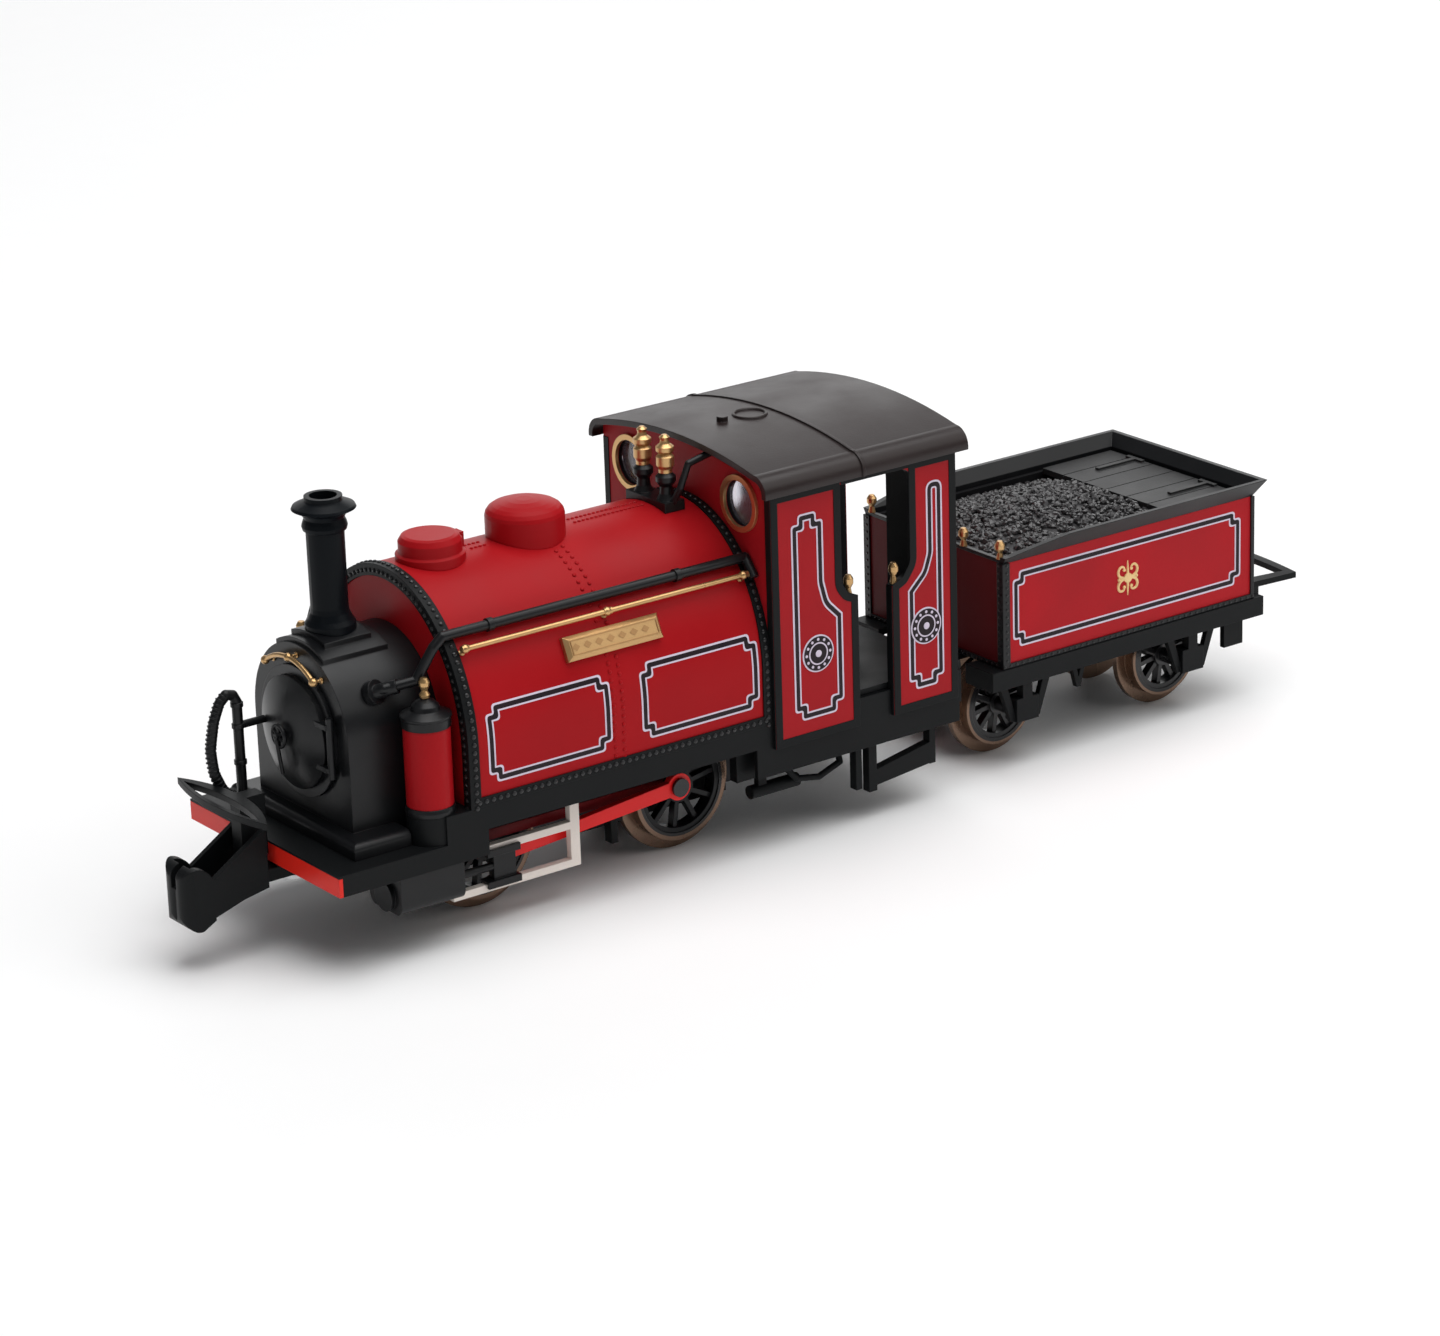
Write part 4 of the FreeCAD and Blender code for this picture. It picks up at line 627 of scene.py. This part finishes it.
def cab_details():
    """The black border, the two lined panels and the two roundels on each side of the cab."""
    x0, x1 = (corner.x for corner in local("cab_body"))
    border = 0.66
    sill, eave = 7.8, 28.45
    opening = (-53.7, -46.9)
    step_front, step_rear = -48.45, -51.9
    front = [(step_front, sill), (x1, sill), (x1, eave), (opening[1], eave), (opening[1], 19.9),
             (-47.5, 19.1), (step_front, 18.7)]
    rear = [(x0, sill), (step_rear, sill), (step_rear, 18.7), (-52.9, 19.1), (opening[0], 20.2),
            (opening[0], eave), (x0, eave)]
    radii_front = [0, 0, 0, 0, 1.3, 0.8, 0]
    radii_rear = [0, 0, 0, 0.8, 1.3, 0, 0]
    line_front = [(-46.2, 9.55), (-42.7, 9.55), (-42.7, 10.3), (-42.05, 10.3), (-42.05, 25.7), (-42.7, 25.7),
                  (-42.7, 26.45), (-44.5, 26.45), (-44.5, 25.7), (-45.15, 25.7), (-45.15, 20.6),
                  (-45.6, 18.9), (-46.9, 17.6), (-46.9, 10.4), (-46.2, 10.4)]
    radii_line_front = [0.4, 0.4, 0.1, 0.4, 0.4, 0.1, 0.4, 0.4, 0.1, 0.4, 1.6, 1.6, 0.15, 0.4, 0.1]
    line_rear = [(-56.35, 9.45), (-54.1, 9.45), (-54.1, 10.15), (-53.45, 10.15), (-53.45, 17.85),
                 (-54.9, 19.2), (-55.4, 20.6), (-55.4, 26.45), (-57.0, 26.45), (-57.0, 10.15),
                 (-56.35, 10.15)]
    radii_line_rear = [0.4, 0.4, 0.1, 0.4, 0.15, 1.4, 1.6, 0.75, 0.75, 0.4, 0.1]
    for side, word in SIDES:
        lay = side_lay(CAB_Y, side)
        edges = Mesh()
        band(edges, (front, radii_front), 0.0, border, lay, 0.05)
        band(edges, (rear, radii_rear), 0.0, border, lay, 0.05)
        edges.box((x1 - 0.02, x1 + 0.05), (side * 10.3, side * 10.97), (sill, eave))
        edges.box((-53.7, -47.0), (side * 10.96, side * 11.04), (27.98, eave))
        for x in ((-48.33, -48.22), (-51.93, -51.82)):
            edges.box(x, (side * 10.28, side * 10.96), (sill, 18.5))
        edges.done(f"cab_border_{word}", "locomotive", "black_satin", FRAME_BLACK)
        lining(f"cab_lining_front_{word}", "locomotive", (line_front, radii_line_front), lay)
        lining(f"cab_lining_rear_{word}", "locomotive", (line_rear, radii_line_rear), lay)
        for n, (x, z) in enumerate(((-44.4, 14.8), (-55.2, 14.6))):
            roundel(f"roundel_{n}_{word}", x, z, side)


def roundel(name, x, z, side):
    """A round plate on the cab's side: pale rim, black ring with pale dots, pale ring, black centre."""
    disc = Mesh()
    pale, black = 0, 1
    centre, out = (x, side * CAB_Y, z), (0, side, 0)
    rings = ((1.52, 1.40, 0.05, 0.06, 48, pale), (1.40, 0.92, 0.075, 0.075, 48, black),
             (0.92, 0.80, 0.09, 0.09, 40, pale), (0.80, 0.05, 0.10, 0.10, 40, black))
    for outer, inner, low, high, n, mat in rings:
        disc.lathe([(outer, 0), (outer, low), (inner, high)], centre, out, n, mat)
    dots, reach = 12, 1.16
    for k in range(dots):
        a = 2 * math.pi * k / dots
        spot = (x + reach * math.cos(a), side * (CAB_Y + 0.07), z + reach * math.sin(a))
        disc.rivet(spot, out, 0.13, 0.05, 8, pale)
    disc.rivet((x, side * (CAB_Y + 0.09), z), out, 0.3, 0.08, 16, pale)
    disc.done(name, "locomotive", "off_white", PALE_LINE, DARK_LINE)


# ---------------------------------------------------------------- tender details
def scrollwork(name, side, y):
    """A gilt ornament on the tender's side: four volutes about a boss and a spindle, even left and right."""
    badge = Mesh()
    centre = Vector((-78.2, side * y, 12.9))
    steps = 32
    for right in (1, -1):
        for up in (1, -1):
            volute = []
            for k in range(steps + 1):
                t = k / steps
                turn = -2.23 + 1.7 * math.pi * t
                reach = 0.91 - 0.73 * t ** 0.55
                along, rise = 0.56 + reach * math.cos(turn), 0.74 + reach * math.sin(turn)
                volute.append(centre + Vector((right * along, 0, up * rise)))
            badge.tube(volute, [0.15 - 0.06 * k / steps for k in range(steps + 1)], 8)
            badge.ball(volute[-1], 0.16, 10)
        badge.ball(centre + Vector((right * 0.95, 0, 0)), 0.15, 10)
    badge.lathe([(0.42, -0.02), (0.42, 0.1), (0.24, 0.16)], centre, (0, side, 0), 24)
    tip = Vector((0, 0, 1.5))
    badge.tube([centre - tip, centre, centre + tip], [0.05, 0.16, 0.05], 8)
    badge.done(name, "tender", "brass", GILT)


def tender_details():
    """The lined panels, the gilt ornament and the rivets of the tender's strips."""
    low, high = local("tender_body")
    y = high.y
    for side, word in SIDES:
        lining(f"tender_lining_{word}", "tender", notched(-90.7, -65.9, 9.6, 16.1), side_lay(y, side))
        scrollwork(f"tender_scrollwork_{word}", side, y)
    rivets = Mesh()
    strip = 0.15                # the strips' thickness
    ends = ((high.x + strip, 1), (low.x - strip, -1))
    bottom_head, upright_head = (0.14, 0.09), (0.13, 0.08)
    for x in spread(low.x, high.x, RIVET_PITCH):
        for side in (1, -1):
            rivets.rivet((x, side * (y + strip), low.z + 0.2), (0, side, 0), *bottom_head)
    m = int((high.z - low.z - 0.8) / RIVET_PITCH)
    for i in range(m + 1):
        z = low.z + 0.7 + (high.z - low.z - 0.9) * i / m
        for side in (1, -1):
            rivets.rivet((high.x - 0.3, side * (y + strip), z), (0, side, 0), *upright_head)
            for x, way in ends:
                rivets.rivet((x, side * (y - 0.3), z), (way, 0, 0), *upright_head)
    for across in spread(-y, y, RIVET_PITCH, 1, 1):
        for x, way in ends:
            rivets.rivet((x, across, low.z + 0.2), (way, 0, 0), *bottom_head)
    rivets.done("tender_rivets", "tender", "black_satin", RIVET_BLACK)


def coal_height(x, y, low, high):
    """The coal heap's level: crowned along the middle and falling towards both ends."""
    across = 1 - (abs(y) / (high.y + 0.3)) ** 2.2
    t = (x - low.x) / (high.x - low.x)
    along = 0.55 + 0.75 * math.sin(math.pi * min(1.0, 0.22 + 0.62 * (1 - t)))
    return 16.15 + 1.15 * across * along


def make_coal():
    """The coal: loose broken lumps on a crowned bed, in place of the plain CAD block."""
    low, high = local("coal_load")
    rng = random.Random(7)
    heap = Mesh()
    bed = []
    nx, ny = 24, 22
    for i in range(nx + 1):
        x = low.x + (high.x - low.x) * i / nx
        across = [low.y + (high.y - low.y) * j / ny for j in range(ny + 1)]
        bed.append([(x, y, coal_height(x, y, low, high) - 0.15) for y in across])
    heap.rings(bed, closed=False, cap=False)
    heap.rings([[(x, y, low.z) for x in (low.x, high.x)] for y in (low.y, high.y)], closed=False, cap=False)
    lumps, margin = 2300, 0.25
    for _ in range(lumps):
        x = rng.uniform(low.x + margin, high.x - margin)
        y = rng.uniform(low.y + margin, high.y - margin)
        size = rng.uniform(0.16, 0.36)
        z = coal_height(x, y, low, high) + rng.uniform(-0.12, 0.10)
        lump = bmesh.ops.create_icosphere(heap.bm, subdivisions=1, radius=size)
        turn = Matrix.Rotation(rng.uniform(0, 6.28), 4, Vector((rng.uniform(-1, 1), rng.uniform(-1, 1), 1)))
        stretch = Matrix.Diagonal((rng.uniform(0.7, 1.3), rng.uniform(0.7, 1.2), rng.uniform(0.6, 1.0), 1))
        move = Matrix.Translation((x, y, min(z, high.z - size))) @ turn @ stretch
        for v in lump["verts"]:
            v.co = move @ (v.co * rng.uniform(0.78, 1.15))
    heap.done("coal_heap", "tender", "coal", COAL, stands_for=("coal_load",), sharp=12.0)


# ---------------------------------------------------------------- handrails, hose and nameplate
def knob(mesh, p, stalk_end, axis, r):
    """A turned handrail knob: a ball on a waisted stalk with a collar where it meets the sheet."""
    p, end = Vector(p), Vector(stalk_end)
    mesh.ball(p, r, 18, axis=axis)
    away = p - end
    length = away.length
    stalk = [(0.26, 0.0), (0.26, 0.08), (0.16, 0.14), (0.14, length * 0.6), (0.2, length - r * 0.6)]
    mesh.lathe(stalk, end, away.normalized(), 16)


def make_handrails():
    """The tank's two handrails and the curved one over the smokebox door, with their knobs."""
    rails = Mesh()
    rail_r, knob_r = 0.2, 0.35
    for side in (1, -1):
        y, z = side * 8.95, 21.95
        rails.tube([(x, y, z) for x in (-13.2, -26.0, -38.8)], rail_r, 14)
        for x, sleeve in ((-13.1, 0.3), (-26.0, 0.42), (-38.9, 0.42)):
            knob(rails, (x, y, z), (x, side * 8.43, 21.51), (1, 0, 0), knob_r)
            rails.lathe([(0.27, -sleeve), (0.27, 0.3)], (x, y, z), (1, 0, 0), 16)
    middle, reach, x = 15.5, 5.75, -3.2

    def on_arc(degrees):
        a = math.radians(degrees)
        return Vector((x, reach * math.sin(a), middle + reach * math.cos(a)))

    rails.tube([on_arc(-37 + 74 * k / 24) for k in range(25)], rail_r, 14)
    for degrees in (-36, 0, 36):
        p = on_arc(degrees)
        knob(rails, p, (x - 0.74, p.y, p.z), (1, 0, 0), knob_r)
        if degrees:
            a = math.radians(degrees)
            out = Vector((0, math.sin(a), math.cos(a)))
            along = Vector((0, math.cos(a), -math.sin(a))) * (1 if degrees > 0 else -1)
            rails.tube([p, p + along * 0.22 + out * 0.1], 0.22, 12)
    rails.done("handrails_turned", "locomotive", "brass", BRASS, stands_for=("handrails",))


def make_hose():
    """Ribs of the reinforced hose that hangs from the top of the front pipe."""
    ribs = Mesh()
    path = smooth_path([(0.35, -3.5, 18.15), (0.95, -3.5, 17.6), (1.55, -3.5, 16.2), (1.95, -3.5, 14.1),
                        (1.95, -3.2, 12.4), (1.35, -3.1, 10.9), (0.35, -3.3, 10.0)], 0.16)
    for i in range(2, len(path) - 2, 2):
        way = (path[i + 1] - path[i - 1]).normalized()
        ribs.lathe([(0.36, -0.09), (0.45, -0.05), (0.45, 0.05), (0.36, 0.09)], path[i], way, 16)
    for z in (12.6, 15.5, 17.2):
        ribs.lathe([(0.38, -0.22), (0.5, -0.16), (0.5, 0.16), (0.38, 0.22)], (-0.55, -3.5, z), (0, 0, 1), 18)
    ribs.done("front_hose_ribs", "locomotive", "black_satin", BLACK)


def make_plate_faces():
    """The blank nameplate's raised edge and its row of lozenges."""
    tilt = math.radians(25)
    up = Vector((0, -math.sin(tilt), math.cos(tilt)))
    out = Vector((0, math.cos(tilt), math.sin(tilt)))
    base = Vector((0, 9.35, 19.9))
    edge = [(-30.0, -0.6), (-22.0, -0.6), (-22.0, 0.6), (-30.0, 0.6)]
    lozenge = ((0, 0), (0.38, -0.3), (0.76, 0), (0.38, 0.3))
    for side, word in SIDES:
        def lay(u, v, h, side=side):
            p = base + up * v + out * (0.6 + h) + Vector((u, 0, 0))
            return Vector((p.x, side * p.y, p.z))
        relief = Mesh()
        band(relief, (edge, [0.05] * 4), 0.0, 0.1, lay, 0.05)
        for n in range(7):
            u = -29.2 + n * 1.07
            relief.face([lay(u + a, b, 0.03) for a, b in lozenge][::side])
        relief.done(f"nameplate_ornament_{word}", "locomotive", "brass", PLATE_FACE)


# ---------------------------------------------------------------- CAD nodes and their finishes
FINISH = {
    "chassis_block": CAST, "keeper_plate": FRAME_BLACK, "screws_and_pins": STEEL, "motor": STEEL,
    "ballast_weight": CAST, "footplate": FRAME_BLACK, "buffer_beam": BEAM_RED, "cylinders": BLACK,
    "slidebars": OFF_WHITE, "smokebox": BLACK, "smokebox_door": BLACK, "door_handwheel": BLACK,
    "chimney": CHIMNEY_BLACK, "saddle_tank": CRIMSON, "tank_edge_strips": FRAME_BLACK, "tank_filler": CRIMSON,
    "dome": CRIMSON, "ejector_pipes": BLACK, "nameplates": BRASS, "sandboxes": CRIMSON, "sandbox_caps": BLACK,
    "handrails": BRASS, "safety_valve_base": BLACK, "safety_valves": BRASS, "cab_roof": ROOF,
    "spectacle_rims": BRASS, "spectacle_glazing": GLASS, "cab_interior": FRAME_BLACK, "brass_knobs": BRASS,
    "underframe_fittings": FRAME_BLACK, "buffer_bow_front": FRAME_BLACK, "brake_pipe_front": BLACK,
    "coupler_spring": STEEL, "rear_driver_wheel_centres": BLACK, "axle_gear": NYLON,
    "front_driver_wheel_centres": BLACK, "idler_gear": NYLON, "motor_shaft": STEEL,
    "coupling_rod_left": SHADED_COUPLING_RED, "coupling_rod_right": SHADED_COUPLING_RED, "connecting_rod_left": ROD_RED,
    "connecting_rod_right": ROD_RED, "crosshead_left": BLACK, "crosshead_right": BLACK,
    "front_coupler": FRAME_BLACK, "drawbar": CAST, "tender_coping": BLACK, "tender_cover": PLANK,
    "coal_load": COAL, "tender_knobs": BRASS, "tender_frame": FRAME_BLACK, "buffer_bow_rear": FRAME_BLACK,
}
SHADED_CRIMSON = (0.10, 0.0035, 0.0055)     # painted shade: the tender's front sheet darkened for the cab's shade that always falls on it


def finish_cad():
    """Give every CAD node its finish; wheels, axles and the two red bodies turn black in places, and the
    tender's front sheet takes painted shade.
    """
    finish = dict(FINISH)
    for which in ("rear", "front"):
        tyres, axle, wheelset = f"{which}_driver_tyres", f"{which}_driver_axle", f"tender_{which}_wheelset"
        finish[tyres] = two_tone(TYRE, f"{which}_driver_rims", DULL_BLACK, outside_radius(tyres, 4.0))
        finish[axle] = two_tone(STEEL, f"{which}_axle_and_pins", DULL_BLACK, inner_half(4.0))
        finish[wheelset] = two_tone(TYRE, f"tender_{which}_wheels", DULL_BLACK,
                                    outside_radius(wheelset, 3.25))
    front_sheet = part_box("tender_body")[1].x - SKIN
    # painted shade: the front sheet of the tender is darkened to the shade the cab casts on it
    shaded = two_tone(LIT_TENDER_CRIMSON, "tender_front_painted_shade", SHADED_CRIMSON, behind(front_sheet))
    finish["tender_body"] = two_tone(shaded, "tender_sheets", DULL_BLACK, outer_sheet("tender_body"))
    finish["cab_body"] = two_tone(CRIMSON_FLAT, "cab_sheets", DULL_BLACK, outer_sheet("cab_body"))
    for name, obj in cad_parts.items():
        obj.data.materials.clear()
        obj.data.materials.append(finish[name])


make_camera()
make_stage()
finish_cad()
strip_rivets()
seam_rivets()
tank_lining()
cab_details()
tender_details()
make_coal()
make_handrails()
make_hose()
make_plate_faces()
